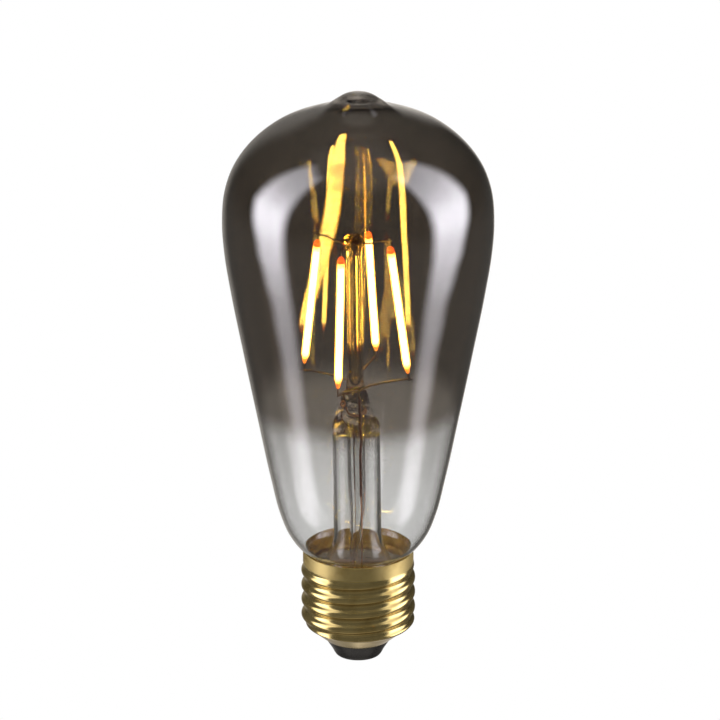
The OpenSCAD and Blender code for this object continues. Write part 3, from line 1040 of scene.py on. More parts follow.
@dataclass
class Mount:
    """The glass stem with its rod, wires and four filaments, all leaning together.

    Attributes:
        lean: the lean in degrees, towards -X.
        flare_z: the height of the flare's rim, about which the mount leans.
        neck: the outer radius of the envelope's neck.
        glass_wall: the thickness of the envelope's glass.
        stem_r: the outer radius of the stem's tube.
        stem_wall: the thickness of the stem's tube.
        tube_foot: the height where the flare ends and the tube begins.
        tube_head: the height where the tube closes into the press.
        press_r: the radius of the press.
        press_z: the height where the press is narrowest.
        press_top: the height of the press's top.
        exhaust_r: the outer radius of the exhaust tube.
        exhaust_wall: the thickness of the exhaust tube.
        exhaust_tip: the height of its sealed lower end.
        rod_r: the radius of the glass rod.
        bore_r: the radius of the hollow in the rod.
        rod_top: the height where the rod swells into the button.
        button_r: the radius of the button.
        button_z: the height of the button's middle.
        button_half: half the height of the button.
        lead_turn: the first lead's turn round the stem, in degrees.
        lead_r: how far the leads lie from the stem's axis.
        dumet_z: the heights of the two ends of a seal wire.
        board_top: the height of the driver board's upper face.
        wire_r: the radius of a nickel wire.
        seal_r: the radius of a seal wire.
        tail_r: the radius of the fine wire below it.
        loop_r: the radius of the copper wire in the press.
        turns: each filament's turn round the rod, in degrees.
        foot_r: how far the filaments' lower ends lie from the axis.
        crown_r: how far their upper ends lie from it.
        foot_z: the height of their lower ends.
        length: the length of a filament.
        filament_r: its radius.
        core_share: the bright core's radius as a share of that.
        taper: the length of its tapered lower end.
        strip: the width, thickness and end margin of its carrier strip.
        tab: the width, thickness and length of an end tab.
    """

    lean: float = 0.8
    flare_z: float = 19.6
    neck: float = 11.5
    glass_wall: float = 0.75
    stem_r: float = 5.5
    stem_wall: float = 0.9
    tube_foot: float = 31.0
    tube_head: float = 56.8
    press_r: float = 3.4
    press_z: float = 61.6
    press_top: float = 65.4
    exhaust_r: float = 2.0
    exhaust_wall: float = 0.8
    exhaust_tip: float = 20.6
    rod_r: float = 1.9
    bore_r: float = 0.95
    rod_top: float = 99.6
    button_r: float = 2.75
    button_z: float = 101.6
    button_half: float = 1.5
    lead_turn: float = -71.0
    lead_r: float = 2.75
    dumet_z: tuple[float, float] = (40.5, 64.0)
    board_top: float = 15.2
    wire_r: float = 0.22
    seal_r: float = 0.3
    tail_r: float = 0.16
    loop_r: float = 0.21
    turns: tuple[float, ...] = (160.0, 252.0, 67.0, 346.0)
    foot_r: float = 12.4
    crown_r: float = 8.6
    foot_z: float = 70.5
    length: float = 30.8
    filament_r: float = 0.95
    core_share: float = 0.8
    taper: float = 2.6
    strip: tuple[float, float, float] = (1.05, 0.36, 1.2)
    tab: tuple[float, float, float] = (0.55, 0.2, 2.4)

    @property
    def tilt(self) -> float:
        """The filaments' tilt towards the rod, in radians."""
        return math.asin((self.foot_r - self.crown_r) / self.length)

    @property
    def leaning(self) -> Matrix:
        """The turn that leans the mount."""
        seat = Matrix.Translation((0, 0, self.flare_z))
        return seat @ Matrix.Rotation(-math.radians(self.lean), 4, "Y") @ seat.inverted()

    def leaned(self, bm: bmesh.types.BMesh) -> bmesh.types.BMesh:
        """Leans a mesh with the mount."""
        bmesh.ops.transform(bm, matrix=self.leaning, verts=bm.verts)
        return bm

    def at_filament(self, i: int) -> Matrix:
        """The frame of one filament: its foot at the origin and its length along Z.

        Args:
            i: the filament's number.

        Returns:
            The turn and the move from that frame to its place.
        """
        return (
            self.leaning
            @ Matrix.Rotation(math.radians(self.turns[i]), 4, "Z")
            @ Matrix.Translation((self.foot_r, 0, self.foot_z))
            @ Matrix.Rotation(-self.tilt, 4, "Y")
        )

    def on_filament(self, i: int, s: float) -> Vector:
        """A place on a filament before the mount leans.

        Args:
            i: the filament's number.
            s: the distance from its foot.

        Returns:
            The place.
        """
        r = self.foot_r - s * math.sin(self.tilt)
        turn = math.radians(self.turns[i])
        return Vector((r * math.cos(turn), r * math.sin(turn), self.foot_z + s * math.cos(self.tilt)))

    def lead_at(self, turn: float, z: float) -> Vector:
        """A place on a lead, at its height."""
        angle = math.radians(self.lead_turn + turn)
        return Vector((self.lead_r * math.cos(angle), self.lead_r * math.sin(angle), z))

    def tab_foot(self, i: int) -> Vector:
        """The end of a filament's lower tab."""
        return self.on_filament(i, self.strip[2] - self.tab[2] - 0.2)

    def tab_crown(self, i: int) -> Vector:
        """The end of a filament's upper tab."""
        return self.on_filament(i, self.length - self.strip[2] + self.tab[2] + 0.2)

    @property
    def weld_gap(self) -> float:
        """The distance from a tab's middle to the wire welded on its face."""
        return self.tab[1] / 2 + self.wire_r + 0.06

    @staticmethod
    def beside(p: Vector, gap: float) -> Vector:
        """A place beside p, round the rod's axis."""
        return p + gap * Vector((-p.y, p.x, 0)) / math.hypot(p.x, p.y)

    def build_stem(self) -> None:
        """Builds the flared tube with the pinched and melted press at its top."""
        rim = self.neck - self.glass_wall - 0.05
        funnel = smooth(
            [(rim, self.flare_z), (rim - 1.6, self.flare_z + 1.6),
             (self.stem_r + 0.9, self.tube_foot - 4.5), (self.stem_r, self.tube_foot)],
            (-0.8, 0.6), (0, 1), 6,
        )  # fmt: skip
        head = smooth(
            [(self.stem_r, self.tube_head), (self.press_r + 0.9, self.press_z - 1.4),
             (self.press_r, self.press_z), (self.press_r - 0.1, self.press_top - 1.2),
             (self.rod_r + 0.2, self.press_top), (0, self.press_top + 0.1)],
            (0, 1), (-1, 0), 6,
        )  # fmt: skip
        inner = self.stem_r - self.stem_wall
        dome = smooth(
            [(0, self.tube_head + 0.4), (inner - 1.6, self.tube_head - 0.2), (inner, self.tube_head - 2.6)],
            (1, 0), (0, -1), 6,
        )  # fmt: skip
        bore = smooth(
            [(inner, self.tube_foot), (self.stem_r + 0.1, self.tube_foot - 4.6),
             (rim - 2.2, self.flare_z + 0.9), (rim - 0.7, self.flare_z - 0.5)],
            (0, -1), (0.8, -0.6), 6,
        )  # fmt: skip
        bm = turned([*dome, *bore, *funnel, *head], 64, False)
        for vert in bm.verts:
            self._pinch(vert)
        finished(self.leaned(bm), "stem_glass", [STEM_GLASS], ["stem_flare"], 70)

    def _pinch(self, vert: bmesh.types.BMVert) -> None:
        """Moves a vertex as the jaws that closed the hot press have left it.

        Args:
            vert: the vertex.
        """
        press = ramp(vert.co.z, self.tube_head - 1, self.press_z - 1)
        press *= 1 - ramp(vert.co.z, self.press_top - 1.5, self.press_top)
        turn = math.atan2(vert.co.y, vert.co.x) - math.radians(self.lead_turn)
        wide = 1 + press * (0.12 * math.cos(2 * turn) + 0.05 * math.sin(3 * turn + 1.3 * vert.co.z))
        melt = 1 + 0.03 * press * math.sin(2.1 * vert.co.z + 0.6)
        vert.co.x *= wide * melt
        vert.co.y *= wide * melt

    def build_exhaust(self) -> None:
        """Builds the drawn exhaust tube with its melted end."""
        drawn = smooth(
            [(0, self.exhaust_tip), (0.7, self.exhaust_tip + 0.6), (1.0, self.exhaust_tip + 4.5),
             (1.4, self.tube_foot), (self.exhaust_r - 0.12, self.tube_foot + 6),
             (self.exhaust_r, self.tube_foot + 12)],
            (1, 0), (0, 1), 6,
        )  # fmt: skip
        bore_r = self.exhaust_r - self.exhaust_wall
        top = self.tube_head + 0.2
        bore = smooth(
            [(bore_r, top - 1.2), (bore_r, self.tube_foot + 12), (0.72, self.tube_foot),
             (0.45, self.exhaust_tip + 4), (0, self.exhaust_tip + 2.2)],
            (0, -1), (-1, 0), 6,
        )  # fmt: skip
        bm = turned([*drawn, (self.exhaust_r, top), (bore_r, top), *bore], 40, False)
        for vert in bm.verts:
            low = 1 - ramp(vert.co.z, self.exhaust_tip, self.tube_foot + 12)
            vert.co.x += -1.1 * low * low + 0.12 * math.sin(vert.co.z * 0.9) * low
            vert.co.y += 0.5 * low * low
        finished(self.leaned(bm), "exhaust_glass", [STEM_GLASS], ["exhaust_tube"], 60)

    def build_rod(self) -> None:
        """Builds the glass rod and the button melted on its top."""
        button = smooth(
            [(self.rod_r, self.rod_top), (self.button_r - 0.3, self.button_z - 1),
             (self.button_r, self.button_z), (self.button_r - 0.7, self.button_z + 1),
             (0, self.button_z + self.button_half)],
            (0.3, 0.95), (-1, 0), 6,
        )  # fmt: skip
        shaft = smooth(
            [(0, self.press_top + 0.15), (self.rod_r + 0.1, self.press_top + 0.3),
             (self.rod_r, self.press_top + 2.4), (self.rod_r, self.press_top + 4),
             (self.rod_r, self.rod_top - 1)],
            (1, 0), (0, 1), 8,
        )  # fmt: skip
        bore = smooth(
            [(0, self.press_top + 1.4), (self.bore_r, self.press_top + 3),
             (self.bore_r, self.press_top + 4.5), (self.bore_r, self.rod_top - 3.5),
             (self.bore_r, self.rod_top - 2), (0, self.rod_top - 0.4)],
            (1, 0), (-1, 0), 8,
        )  # fmt: skip
        tube = turned([*shaft, *button], 40, False)
        hollow = turned(bore, 32, False)
        bmesh.ops.reverse_faces(hollow, faces=hollow.faces)
        bm = joined(tube, hollow)
        for vert in bm.verts:
            turn = math.atan2(vert.co.y, vert.co.x)
            melted = ramp(vert.co.z, self.rod_top - 1, self.button_z)
            lump = 1 + melted * 0.07 * math.sin(3 * turn + 1.7 * vert.co.z)
            lump += 0.004 * math.sin(0.3 * vert.co.z + 2 * turn)
            vert.co.x *= lump
            vert.co.y *= lump
        for face in bm.faces:
            face.material_index = int(face.calc_center_median().z > self.rod_top + 0.3)
        finished(self.leaned(bm), "rod_glass", [ROD_GLASS, BEAD_GLASS], ["support_rod"], 70)

    def bridge_z(self, level: int) -> float:
        """The height at which a bridge wire crosses the button."""
        return self.button_z + (-0.35, 0.55)[level]

    def wire(self, stations: Sequence[Vector], steps: int = 5) -> bmesh.types.BMesh:
        """A nickel wire with snipped, slightly rounded ends."""
        path = smooth_path(stations, steps)
        return swept(path, lambda s: self.wire_r * (1 if 0.015 < s < 0.985 else 0.8), 12)

    def weld(self, at: Vector) -> bmesh.types.BMesh:
        """A spot weld where a wire crosses a tab."""
        return drop(at, (0.3, 0.3, 0.24))

    def build_inner_lead(self, turn: float, i: int, name: str) -> None:
        """Builds a lead from the press over to a filament's lower tab.

        Args:
            turn: the lead's turn round the stem, in degrees.
            i: the filament's number.
            name: the CAD node that it stands for.
        """
        start = self.lead_at(turn, self.dumet_z[1] + 0.03)
        goal = self.beside(self.tab_foot(i), self.weld_gap)
        away = goal - start
        flat = Vector((away.x, away.y, 0))
        up = Vector((0, 0, 1))
        stations = [
            start,
            start + 2 * up,
            start + 0.12 * flat + 3.1 * up,
            start + 0.35 * flat + 3.9 * up,
            goal - 0.6 * away.normalized() + 0.2 * up,
            goal + 0.9 * flat.normalized(),
        ]
        bm = joined(self.wire(stations), self.weld(goal))
        finished(self.leaned(bm), f"{name}_wire", [NICKEL], [name])

    def build_jumper(self, turn: float, i: int, bow: Vector, name: str) -> None:
        """Builds a short wire from a lead across to the second filament that it feeds.

        Args:
            turn: the lead's turn round the stem, in degrees.
            i: the filament's number.
            bow: the side to which the wire bows.
            name: the CAD node that it stands for.
        """
        start = self.lead_at(turn, self.dumet_z[1] + 2.6) + 2.2 * self.wire_r * bow
        goal = self.beside(self.tab_foot(i), self.weld_gap)
        middle = (start + goal) / 2 + bow + Vector((0, 0, 0.4))
        stations = [start, middle, goal, goal + 0.8 * (goal - middle).normalized()]
        bm = joined(self.wire(stations, 8), self.weld(goal), self.weld(start))
        finished(self.leaned(bm), f"{name}_wire", [NICKEL], [name])

    def build_bridge(self, level: int, a: int, b: int, name: str) -> None:
        """Builds the wire through the button that joins two opposite filaments.

        Args:
            level: 0 for the lower wire and 1 for the upper.
            a: the first filament's number.
            b: the second filament's number.
            name: the CAD node that it stands for.
        """
        pa = self.beside(self.tab_crown(a), self.weld_gap)
        pb = self.beside(self.tab_crown(b), -self.weld_gap)
        turn = math.radians(self.turns[b])
        across = Vector((math.cos(turn), math.sin(turn), 0))
        centre = Vector((0, 0, self.bridge_z(level)))
        ca = centre - (self.button_r + 0.8) * across
        cb = centre + (self.button_r + 0.8) * across
        lift = Vector((0, 0, 0.3))
        inside = [centre + s * (self.button_r + 0.1) * across for s in (-1, 0, 1)]
        stations = [
            pa + 0.8 * (pa - ca).normalized(), pa, (pa + ca) / 2 + lift, ca, *inside,
            cb, (pb + cb) / 2 + lift, pb, pb + 0.8 * (pb - cb).normalized(),
        ]  # fmt: skip
        bm = joined(self.wire(stations, 4), self.weld(pa), self.weld(pb))
        finished(self.leaned(bm), f"{name}_wire", [NICKEL], [name])

    def build_seals(self) -> None:
        """Builds the two copper-clad wires sealed through the press, and their fine tails."""
        for turn, side in ((0.0, "line"), (180.0, "return")):
            low, high = self.dumet_z
            knot = self.tube_head - 1.5
            stations = [
                self.lead_at(turn, low),
                self.lead_at(turn, low + 6),
                self.lead_at(turn, knot - 4),
                self.lead_at(turn, knot) + Vector((0.25, 0, 0)),
                self.lead_at(turn, knot + 2.2),
                self.lead_at(turn, self.press_z),
                self.lead_at(turn, high + 0.9),
            ]
            bm = swept(smooth_path(stations, 6), lambda s: self.seal_r, 14)
            finished(self.leaned(bm), f"dumet_{side}_wire", [DUMET], [f"dumet_seal_{side}"])
            tail = [
                self.lead_at(turn, self.board_top + 0.05),
                self.lead_at(turn, self.flare_z + 4),
                self.lead_at(turn, self.tube_foot + 2) + Vector((0.12, 0.1, 0)),
                self.lead_at(turn, low),
            ]
            bm = swept(smooth_path(tail, 8), lambda s: self.tail_r, 10)
            finished(self.leaned(bm), f"tail_{side}_wire", [COPPER], [f"outer_lead_{side}"])

    def build_press_loops(self) -> None:
        """Builds the bent copper wires that anchor the leads in the melted glass of the press."""
        wide = [
            Vector((2.0 * math.cos(a), -2.1 - 0.5 * math.sin(a), self.press_z + 0.7 - 2.1 * math.sin(a)))
            for a in (k * math.pi / 8 for k in range(9))
        ]
        low = [v + Vector((0.25, 0.35, -0.7)) for v in wide]
        eye_z = self.press_z + 1.1
        small = [
            Vector((-2.75 + 0.6 * math.cos(a), -1.2 - 0.3 * math.sin(a), eye_z + 0.75 * math.sin(a)))
            for a in (-0.9 + k * 0.55 for k in range(11))
        ]
        parts = [swept(smooth_path(p, 4), lambda s: self.loop_r, 10) for p in (wide, low, small)]
        finished(self.leaned(joined(*parts)), "press_loops", [COPPER])

    def filament_shell(self, width: float) -> bmesh.types.BMesh:
        """The tapered round body of a filament, with its place along it on each vertex.

        Args:
            width: the body's radius.

        Returns:
            The mesh, standing on the origin.
        """
        scale = width / self.filament_r
        full = self.filament_r
        foot = smooth(
            [(0, 0.0), (0.36 * full, 0.35), (0.68 * full, self.taper / 2), (full, self.taper)],
            (1, 0.6), (0, 1), 4,
        )  # fmt: skip
        crown = smooth(
            [(full, self.length - 1.7), (0.84 * full, self.length - 0.75), (0.4 * full, self.length - 0.12),
             (0, self.length)],
            (0, 1), (-1, 0), 4,
        )  # fmt: skip
        low = [(p.x * scale, p.y) for p in foot]
        high = [(p.x * scale, p.y) for p in crown]
        count = 60
        span = self.length - self.taper - 1.7
        body = [(width, self.taper + span * k / count) for k in range(1, count)]
        bm = turned([*low, *body, *high], 24, False)
        along = bm.verts.layers.float.new("along")
        for vert in bm.verts:
            vert[along] = vert.co.z / self.length
        return bm

    def build_filament(self, i: int) -> None:
        """Builds one filament's glowing layers and its end tabs.

        Args:
            i: the filament's number.
        """
        place = self.at_filament(i)
        number = i + 1
        for name, width, finish, nodes in (
            ("skin", self.filament_r, PHOSPHOR_SKIN, [f"phosphor_coating_{number}"]),
            ("core", self.core_share * self.filament_r, PHOSPHOR_CORE, []),
        ):
            bm = self.filament_shell(width)
            bmesh.ops.transform(bm, matrix=place, verts=bm.verts)
            finished(bm, f"phosphor_{name}_{number}", [finish], nodes)
        tabs = []
        reach = self.tab[2] / 2 + 0.6 - self.strip[2]
        for z in (-reach, self.length + reach):
            bm = bevelled_block(self.tab, 0.05)
            bmesh.ops.transform(bm, matrix=place @ Matrix.Translation((0, 0, z)), verts=bm.verts)
            tabs.append(bm)
        finished(joined(*tabs), f"end_tab_pair_{number}", [TAB_STEEL], [f"end_tabs_{number}"])

    def build(self) -> None:
        """Builds the whole mount."""
        self.build_stem()
        self.build_exhaust()
        self.build_rod()
        self.build_seals()
        self.build_press_loops()
        self.build_inner_lead(0, 3, "inner_lead_line")
        self.build_inner_lead(180, 0, "inner_lead_return")
        self.build_jumper(0, 1, Vector((-1, -0.6, 0)), "jumper_line")
        self.build_jumper(180, 2, Vector((0.6, 0.8, 0)), "jumper_return")
        self.build_bridge(0, 0, 3, "top_bridge_wide")
        self.build_bridge(1, 1, 2, "top_bridge_deep")
        for i in range(len(self.turns)):
            self.build_filament(i)


# ---- Screw cap


@dataclass
class ScrewCap:
    """The drawn brass shell, its black glass foot, the contact and the cement.

    Attributes:
        crest: the radius of the thread's crests.
        valley: the radius of its valleys.
        pitch: the height of one turn of thread.
        wall: the thickness of the brass.
        band: the radius of the plain band above the thread.
        rim: the height of the shell's rim.
        cone_r: the radius of the cone's lower end.
        cone_z: the heights of the cone's two ends.
        thread_foot: the heights between which the thread grows out of the cone.
        thread_head: the heights between which it fades into the band.
        crest_z: the height of a crest at the back of the shell.
        insulator_r: the radius of the insulator's flat end.
        contact_r: the radius of the contact plate.
        contact_wall: the thickness of the contact plate.
        neck: the outer radius of the envelope's neck.
        cement_z: the heights of the cement's lower and upper ends.
        around: the number of steps round the shell.
    """

    crest: float = 13.15
    valley: float = 12.13
    pitch: float = 3.629
    wall: float = 0.3
    band: float = 12.75
    rim: float = 26.4
    cone_r: float = 7.7
    cone_z: tuple[float, float] = (4.3, 8.0)
    thread_foot: tuple[float, float] = (7.4, 9.0)
    thread_head: tuple[float, float] = (21.4, 23.4)
    crest_z: float = 17.4
    insulator_r: float = 5.5
    contact_r: float = 4.6
    contact_wall: float = 0.7
    neck: float = 11.5
    cement_z: tuple[float, float] = (19.2, 21.2)
    around: int = 160

    @property
    def depth(self) -> float:
        """The depth of the thread."""
        return self.crest - self.valley

    @property
    def arc(self) -> float:
        """The radius of the equal arcs of which the thread is made."""
        return ((self.pitch / 2) ** 2 + self.depth**2) / (4 * self.depth)

    def thread_r(self, turn: float, z: float) -> float:
        """Radius of the thread.

        Args:
            turn: the turn round the cap, in degrees.
            z: the height.

        Returns:
            The radius.
        """
        up = (z - self.crest_z) / self.pitch - (turn - 180) / 360
        off = abs(up - round(up)) * self.pitch
        if off <= self.pitch / 4:
            return self.crest - self.arc + math.sqrt(self.arc**2 - off**2)
        return self.valley + self.arc - math.sqrt(self.arc**2 - (self.pitch / 2 - off) ** 2)

    def shell_r(self, turn: float, z: float) -> float:
        """Radius of the shell's outside: cone, thread and plain band.

        Args:
            turn: the turn round the cap, in degrees.
            z: the height.

        Returns:
            The radius.
        """
        low, high = ramp(z, *self.thread_foot), ramp(z, *self.thread_head)
        slope = (self.valley - self.cone_r) / (self.cone_z[1] - self.cone_z[0])
        cone = min(self.valley, self.cone_r + (z - self.cone_z[0]) * slope)
        return (cone * (1 - low) + self.thread_r(turn, z) * low) * (1 - high) + self.band * high

    def build_shell(self) -> None:
        """Builds the threaded shell as one even sheet with a turned rim."""
        step = 0.16
        count = round((self.rim - self.cone_z[0]) / step)
        heights = [self.cone_z[0] + (self.rim - self.cone_z[0]) * k / count for k in range(count + 1)]
        outside = [(20.0, z) for z in heights]
        inside = [(10.0, z) for z in reversed(heights)]
        bm = turned([*outside, *inside], self.around, True)
        for vert in bm.verts:
            turn = math.degrees(math.atan2(vert.co.y, vert.co.x)) % 360
            inner = math.hypot(vert.co.x, vert.co.y) < 15
            r = self.shell_r(turn, vert.co.z)
            if inner:
                r -= self.wall + self._creases(turn, vert.co.z)
            vert.co.x = r * math.cos(math.radians(turn))
            vert.co.y = r * math.sin(math.radians(turn))
        bmesh.ops.recalc_face_normals(bm, faces=bm.faces)
        for face in bm.faces:
            middle = face.calc_center_median()
            face.material_index = int(face.normal.dot(Vector((middle.x, middle.y, 0))) < 0)
        finished(bm, "brass_shell", [BRASS, BRASS_INSIDE], ["screw_shell"], 50)

    def _creases(self, turn: float, z: float) -> float:
        """How far the creases that the drawing has left stand in from the band's inside.

        Args:
            turn: the turn round the cap, in degrees.
            z: the height.

        Returns:
            The depth.
        """
        band = ramp(z, 21.4, 22.4) * (1 - ramp(z, 23.6, 25.4))
        wide = abs(math.sin(math.radians(turn * 4.5 + 9 * z)))
        fine = abs(math.sin(math.radians(turn * 8 - 14 * z + 40)))
        return (0.34 * (1 - wide) + 0.16 * (1 - fine)) * band

    def build_insulator(self) -> None:
        """Builds the black glass foot, moulded into the shell."""
        bottom, top = self.cone_z[0], self.cone_z[0] + 1.8
        slope = (self.valley - self.cone_r) / (self.cone_z[1] - self.cone_z[0])
        inner = self.cone_r - self.wall - 0.06
        skirt = smooth(
            [(self.contact_r + 0.03, 0.12), (self.contact_r + 0.5, 0.2), (self.insulator_r + 0.05, 0.75),
             (self.insulator_r + 0.4, self.contact_wall + 0.75), (self.cone_r - 0.1, bottom - 0.15)],
            (1, 0), (0.52, 0.85), 6,
        )  # fmt: skip
        rest = [
            (self.cone_r, bottom - 0.02), (inner, bottom - 0.02), (inner + (top - bottom) * slope, top),
            (self.insulator_r + 0.5, top), (self.insulator_r - 1.5, 3.2), (1.5, 3.2),
            (1.5, self.contact_wall), (self.contact_r + 0.03, self.contact_wall),
        ]  # fmt: skip
        bm = turned([*skirt, *rest], 96, True)
        finished(bm, "black_foot", [BLACK_GLASS], ["cap_insulator"], 35)

    def build_contact(self) -> None:
        """Builds the centre contact with its raised ring, its pin and the line wire's eye."""
        r, wall = self.contact_r, self.contact_wall
        profile = [
            (0.42, 0.12), (0.6, 0.02), (1.5, 0.0), (2.2, 0.0), (2.5, 0.09), (2.9, 0.09), (3.2, 0.0),
            (r - 0.5, 0.0), (r - 0.14, 0.08), (r, 0.3), (r, wall), (1.5, wall), (1.5, 4.3), (1.42, 4.4),
            (0.5, 4.4), (0.5, 1.2), (0.42, 1.0),
        ]  # fmt: skip
        bm = turned(profile, 72, True)
        solder = drop(Vector((0, 0, 0.42)), (0.85, 0.85, 0.4))
        finished(
            joined(bm, solder), "contact_plate", [CONTACT_BRASS], ["centre_contact"], 40
        )

    def build_cement(self) -> None:
        """Builds the uneven ring of cement between the neck and the shell."""
        low, high = self.cement_z
        inner, outer = self.neck + 0.03, self.valley - self.wall - 0.07
        middle = (inner + outer) / 2
        ring = [(inner, low), (outer, low), (outer, high - 0.2), (middle, high), (inner, high - 0.2)]
        bm = turned(ring, 96, True)
        for vert in bm.verts:
            turn = math.atan2(vert.co.y, vert.co.x)
            if vert.co.z > high - 0.5:
                vert.co.z += 0.18 * math.sin(5 * turn) + 0.1 * math.sin(13 * turn + 1)
        finished(bm, "cement_ring", [CEMENT], ["basing_cement"])

    def build(self) -> None:
        """Builds the whole cap."""
        self.build_shell()
        self.build_insulator()
        self.build_contact()
        self.build_cement()


# ---- Driver and radio, whose CAD meshes stay


@dataclass
class Electronics:
    """The boards and parts inside the cap, and the filaments' inner strips.

    Attributes:
        dressing: the finish of each CAD node that keeps its mesh.
    """

    dressing: dict[str, Finish] = field(
        default_factory=lambda: {
            "insulating_sleeve": SLEEVE,
            "insulating_disc": FIBRE,
            "driver_board": GREEN_BOARD,
            "line_wire": RED_PVC,
            "neutral_wire": BLACK_PVC,
            "smoothing_capacitor": CAPACITOR,
            "power_inductor": FERRITE,
            "bridge_rectifier": EPOXY,
            "fusible_resistor": RESISTOR,
            "driver_chip": EPOXY,
            "chip_components": CERAMIC,
            "radio_board": BLUE_BOARD,
            "radio_shield": TIN,
            "radio_crystal": CRYSTAL_CAN,
            "antenna_trace": PRINTED_COPPER,
            **{f"carrier_strip_{n}": CARRIER for n in range(1, 5)},
            **{f"led_chips_{n}": LED_CHIP for n in range(1, 5)},
        }
    )

    def dress(self) -> None:
        """Puts each node's finish in its material slots."""
        for name, finish in self.dressing.items():
            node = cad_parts[name]
            node.data.materials.clear()
            node.data.materials.append(finish.material())
            log.info("%s: %s", name, finish.name)


# ---- Studio


class Softbox(Enum):
    """A studio softbox: its side, its inner and outer bearings in degrees from the front, and
    the slope and the curve by which its outer edge draws in below."""

    LEFT = (-1.0, 66.5, 104.0, 0.34, 0.0005)
    RIGHT = (1.0, 68.0, 112.0, 0.3, 0.004)


@dataclass
class Studio:
    """A white sweep, two tall softboxes, two lamps and the camera.

    Attributes:
        elevation: the camera's height over the level, in degrees.
        distance: its distance from the target, in metres.
        lens: its focal length in millimetres.
        target: the place that it looks at, in metres.
        box_light: how bright the softboxes are.
        box_colour: their colour.
        box_span: the elevations between which they stand, in degrees.
        box_edge: how soft their inner and outer upright edges are, in degrees.
        box_middle: the elevation where they are brightest, and how fast they dim away from it.
        box_levels: the brightness of their feet, and what their bodies and middles add.
        box_turn: the elevation below which their outer edges draw in.
        studio_colour: the colour of the dark studio that the bulb mirrors.
        dimmest: the brightness of its darkest parts.
        wall_light: how much brighter its walls are below eye height.
        ceiling_light: how much brighter its ceiling is.
        ground_light: how much brighter its ground is.
        back_light: a side, a brightness and two bearings for each soft step of the back wall.
        lamps: each lamp's place in metres and its power in watts.
        lamp_size: the width and height of a lamp, in metres.
    """

    elevation: float = 21.3
    distance: float = 1.5
    lens: float = 329.14
    target: tuple[float, float, float] = (0.00041, 0.0, 0.07275)
    box_light: float = 5.4
    box_colour: Colour = (0.95, 0.93, 1.0)
    box_span: tuple[float, float] = (-50.0, 62.0)
    box_edge: tuple[float, float] = (7.0, 8.0)
    box_middle: tuple[float, float] = (5.0, 28.0)
    box_levels: tuple[float, float, float] = (0.12, 0.18, 0.7)
    box_turn: float = 12.0
    studio_colour: Colour = (1.0, 0.94, 0.87)
    dimmest: float = 0.032
    wall_light: float = 0.08
    ceiling_light: float = 0.13
    ground_light: float = 0.35
    back_light: tuple[tuple[float, float, tuple[float, float]], ...] = (
        (1.0, 0.8, (161.0, 181.0)),
        (-1.0, 0.26, (143.0, 165.0)),
        (-1.0, 0.54, (172.0, 181.0)),
    )
    lamps: tuple[tuple[str, Colour, float], ...] = (
        ("front_lamp", (-0.25, -0.8, 0.85), 26.0),
        ("overhead_lamp", (0.2, 0.3, 1.2), 14.0),
    )
    lamp_size: tuple[float, float] = (0.7, 0.5)

    def build_camera(self) -> None:
        """Places the camera."""
        data = bpy.data.cameras.new("camera")
        data.lens = self.lens
        data.sensor_width = 36.0
        data.clip_start, data.clip_end = 0.05, 20.0
        camera = bpy.data.objects.new("camera", data)
        rise = math.radians(self.elevation)
        camera.location = Vector(self.target) + self.distance * Vector((0, -math.cos(rise), math.sin(rise)))
        camera.rotation_euler = (math.pi / 2 - rise, 0, 0)
        bpy.context.scene.collection.objects.link(camera)
        bpy.context.scene.camera = camera

    def softbox(self, box: Softbox, bearing: Signal, low: Signal) -> Signal:
        """Where one softbox stands.

        Args:
            box: the softbox.
            bearing: the bearing in degrees, positive to the right.
            low: how far below the turning height it is, as a negative angle in degrees.

        Returns:
            1 on the box, and 0 elsewhere.
        """
        side, inner, outer, slope, curve = box.value
        near, far = self.box_edge
        off = side * bearing
        drawn_in = low * (slope - curve * low)
        return (off - drawn_in).rise(outer + far, outer - far) * off.rise(inner - near, inner + near)

    def build_world(self) -> None:
        """Builds the white surroundings, and the darker studio that the bulb mirrors."""
        world = bpy.data.worlds.new("studio_world")
        bpy.context.scene.world = world
        bench = Bench(world)
        way = bench.node("ShaderNodeTexCoord", output="Generated")
        x, y, z = (bench.node("ShaderNodeSeparateXYZ", inputs={0: way}, output=a) for a in "XYZ")
        bearing = x.angle_from(-y) * (180 / math.pi)
        height = z.arcsine() * (180 / math.pi)
        foot, body, middle = self.box_levels
        profile = foot + body * height.rise(-44.0, -24.0) + middle * height.bell(*self.box_middle)
        tall = height.window(*self.box_span, 6.0) * profile
        low = (height - self.box_turn).at_most(0.0)
        boxes = tall * (self.softbox(Softbox.LEFT, bearing, low) + self.softbox(Softbox.RIGHT, bearing, low))
        back = sum(level * (side * bearing).rise(*edge) for side, level, edge in self.back_light)
        walls = self.wall_light * height.window(-60.0, -8.0, 14.0)
        ceiling = self.ceiling_light * height.rise(52.0, 75.0)
        ground = self.ground_light * (-height).rise(56.0, 72.0)
        glow = self.dimmest + walls + ceiling + ground + back * height.window(-75.0, 25.0, 12.0)
        dark = bench.node("ShaderNodeBackground", inputs={"Color": self.studio_colour, "Strength": glow})
        lit = bench.node(
            "ShaderNodeBackground", inputs={"Color": self.box_colour, "Strength": boxes * self.box_light}
        )
        mirrored = bench.node("ShaderNodeAddShader", inputs={0: dark, 1: lit})
        seen = bench.node("ShaderNodeBackground", inputs={"Color": (1, 1, 1), "Strength": 1.0})
        bench.surface(bench.mix(bench.bounced(), seen, mirrored))

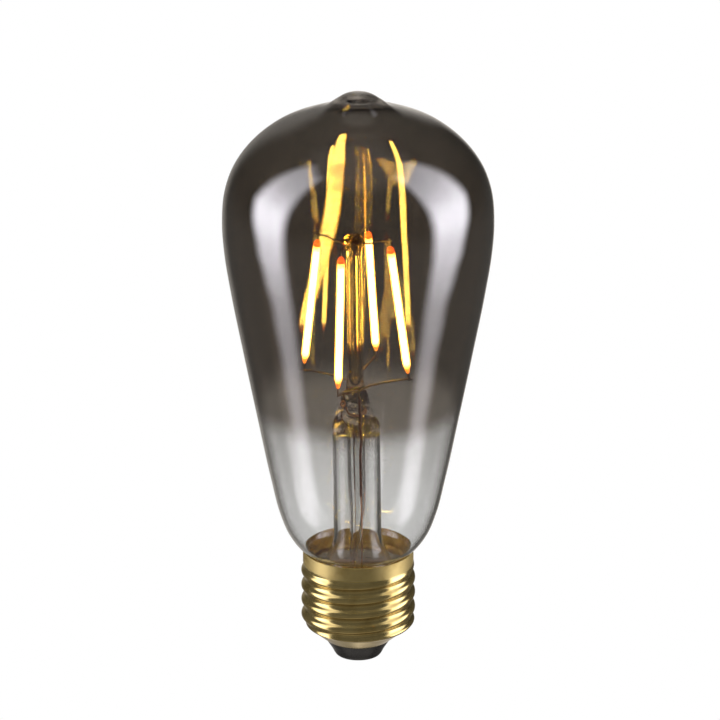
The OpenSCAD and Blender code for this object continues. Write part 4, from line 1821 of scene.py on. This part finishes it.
    def build_floor(self) -> None:
        """Lays the plain pale floor, which only straight views see."""
        bm = bmesh.new()
        bmesh.ops.create_grid(bm, x_segments=1, y_segments=1, size=6.0)
        mesh = bpy.data.meshes.new("floor")
        bm.to_mesh(mesh)
        bm.free()
        material = bpy.data.materials.new("pale_floor")
        bench = Bench(material)
        white = bench.node("ShaderNodeEmission", inputs={"Color": (1, 1, 1), "Strength": 1.0})
        gone = bench.node("ShaderNodeBsdfTransparent")
        unseen = bench.bounced() + bench.node("ShaderNodeNewGeometry", output="Backfacing")
        bench.surface(bench.mix(unseen, white, gone))
        mesh.materials.append(material)
        floor = bpy.data.objects.new("floor", mesh)
        floor.location.z = -0.0002
        bpy.context.scene.collection.objects.link(floor)

    def build_lamps(self) -> None:
        """Hangs the wide, soft lamps high in front of the bulb and over it."""
        for name, place, power in self.lamps:
            data = bpy.data.lights.new(name, "AREA")
            data.shape = "RECTANGLE"
            data.size, data.size_y = self.lamp_size
            data.energy = power
            lamp = bpy.data.objects.new(name, data)
            lamp.location = place
            lamp.rotation_mode = "QUATERNION"
            lamp.rotation_quaternion = Vector(place).to_track_quat("Z", "Y")
            lamp.visible_glossy = False
            lamp.visible_transmission = False
            lamp.visible_camera = False
            bpy.context.scene.collection.objects.link(lamp)

    def build(self) -> None:
        """Sets up the studio."""
        scene = bpy.context.scene
        scene.view_settings.view_transform = "Standard"
        scene.cycles.max_bounces = 40
        scene.cycles.transmission_bounces = 32
        scene.cycles.glossy_bounces = 12
        scene.cycles.transparent_max_bounces = 24
        scene.cycles.caustics_reflective = False
        scene.cycles.caustics_refractive = False
        scene.cycles.use_adaptive_sampling = False
        scene.cycles.sample_clamp_indirect = 160.0
        self.build_camera()
        self.build_world()
        self.build_floor()
        self.build_lamps()


def main() -> None:
    """Builds the bulb and its studio."""
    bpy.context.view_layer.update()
    for plain in bpy.data.materials:
        plain.name = f"cad_{plain.name}"
    Studio().build()
    Envelope().build()
    Mount().build()
    ScrewCap().build()
    Electronics().dress()


if __name__ == "__main__":
    main()
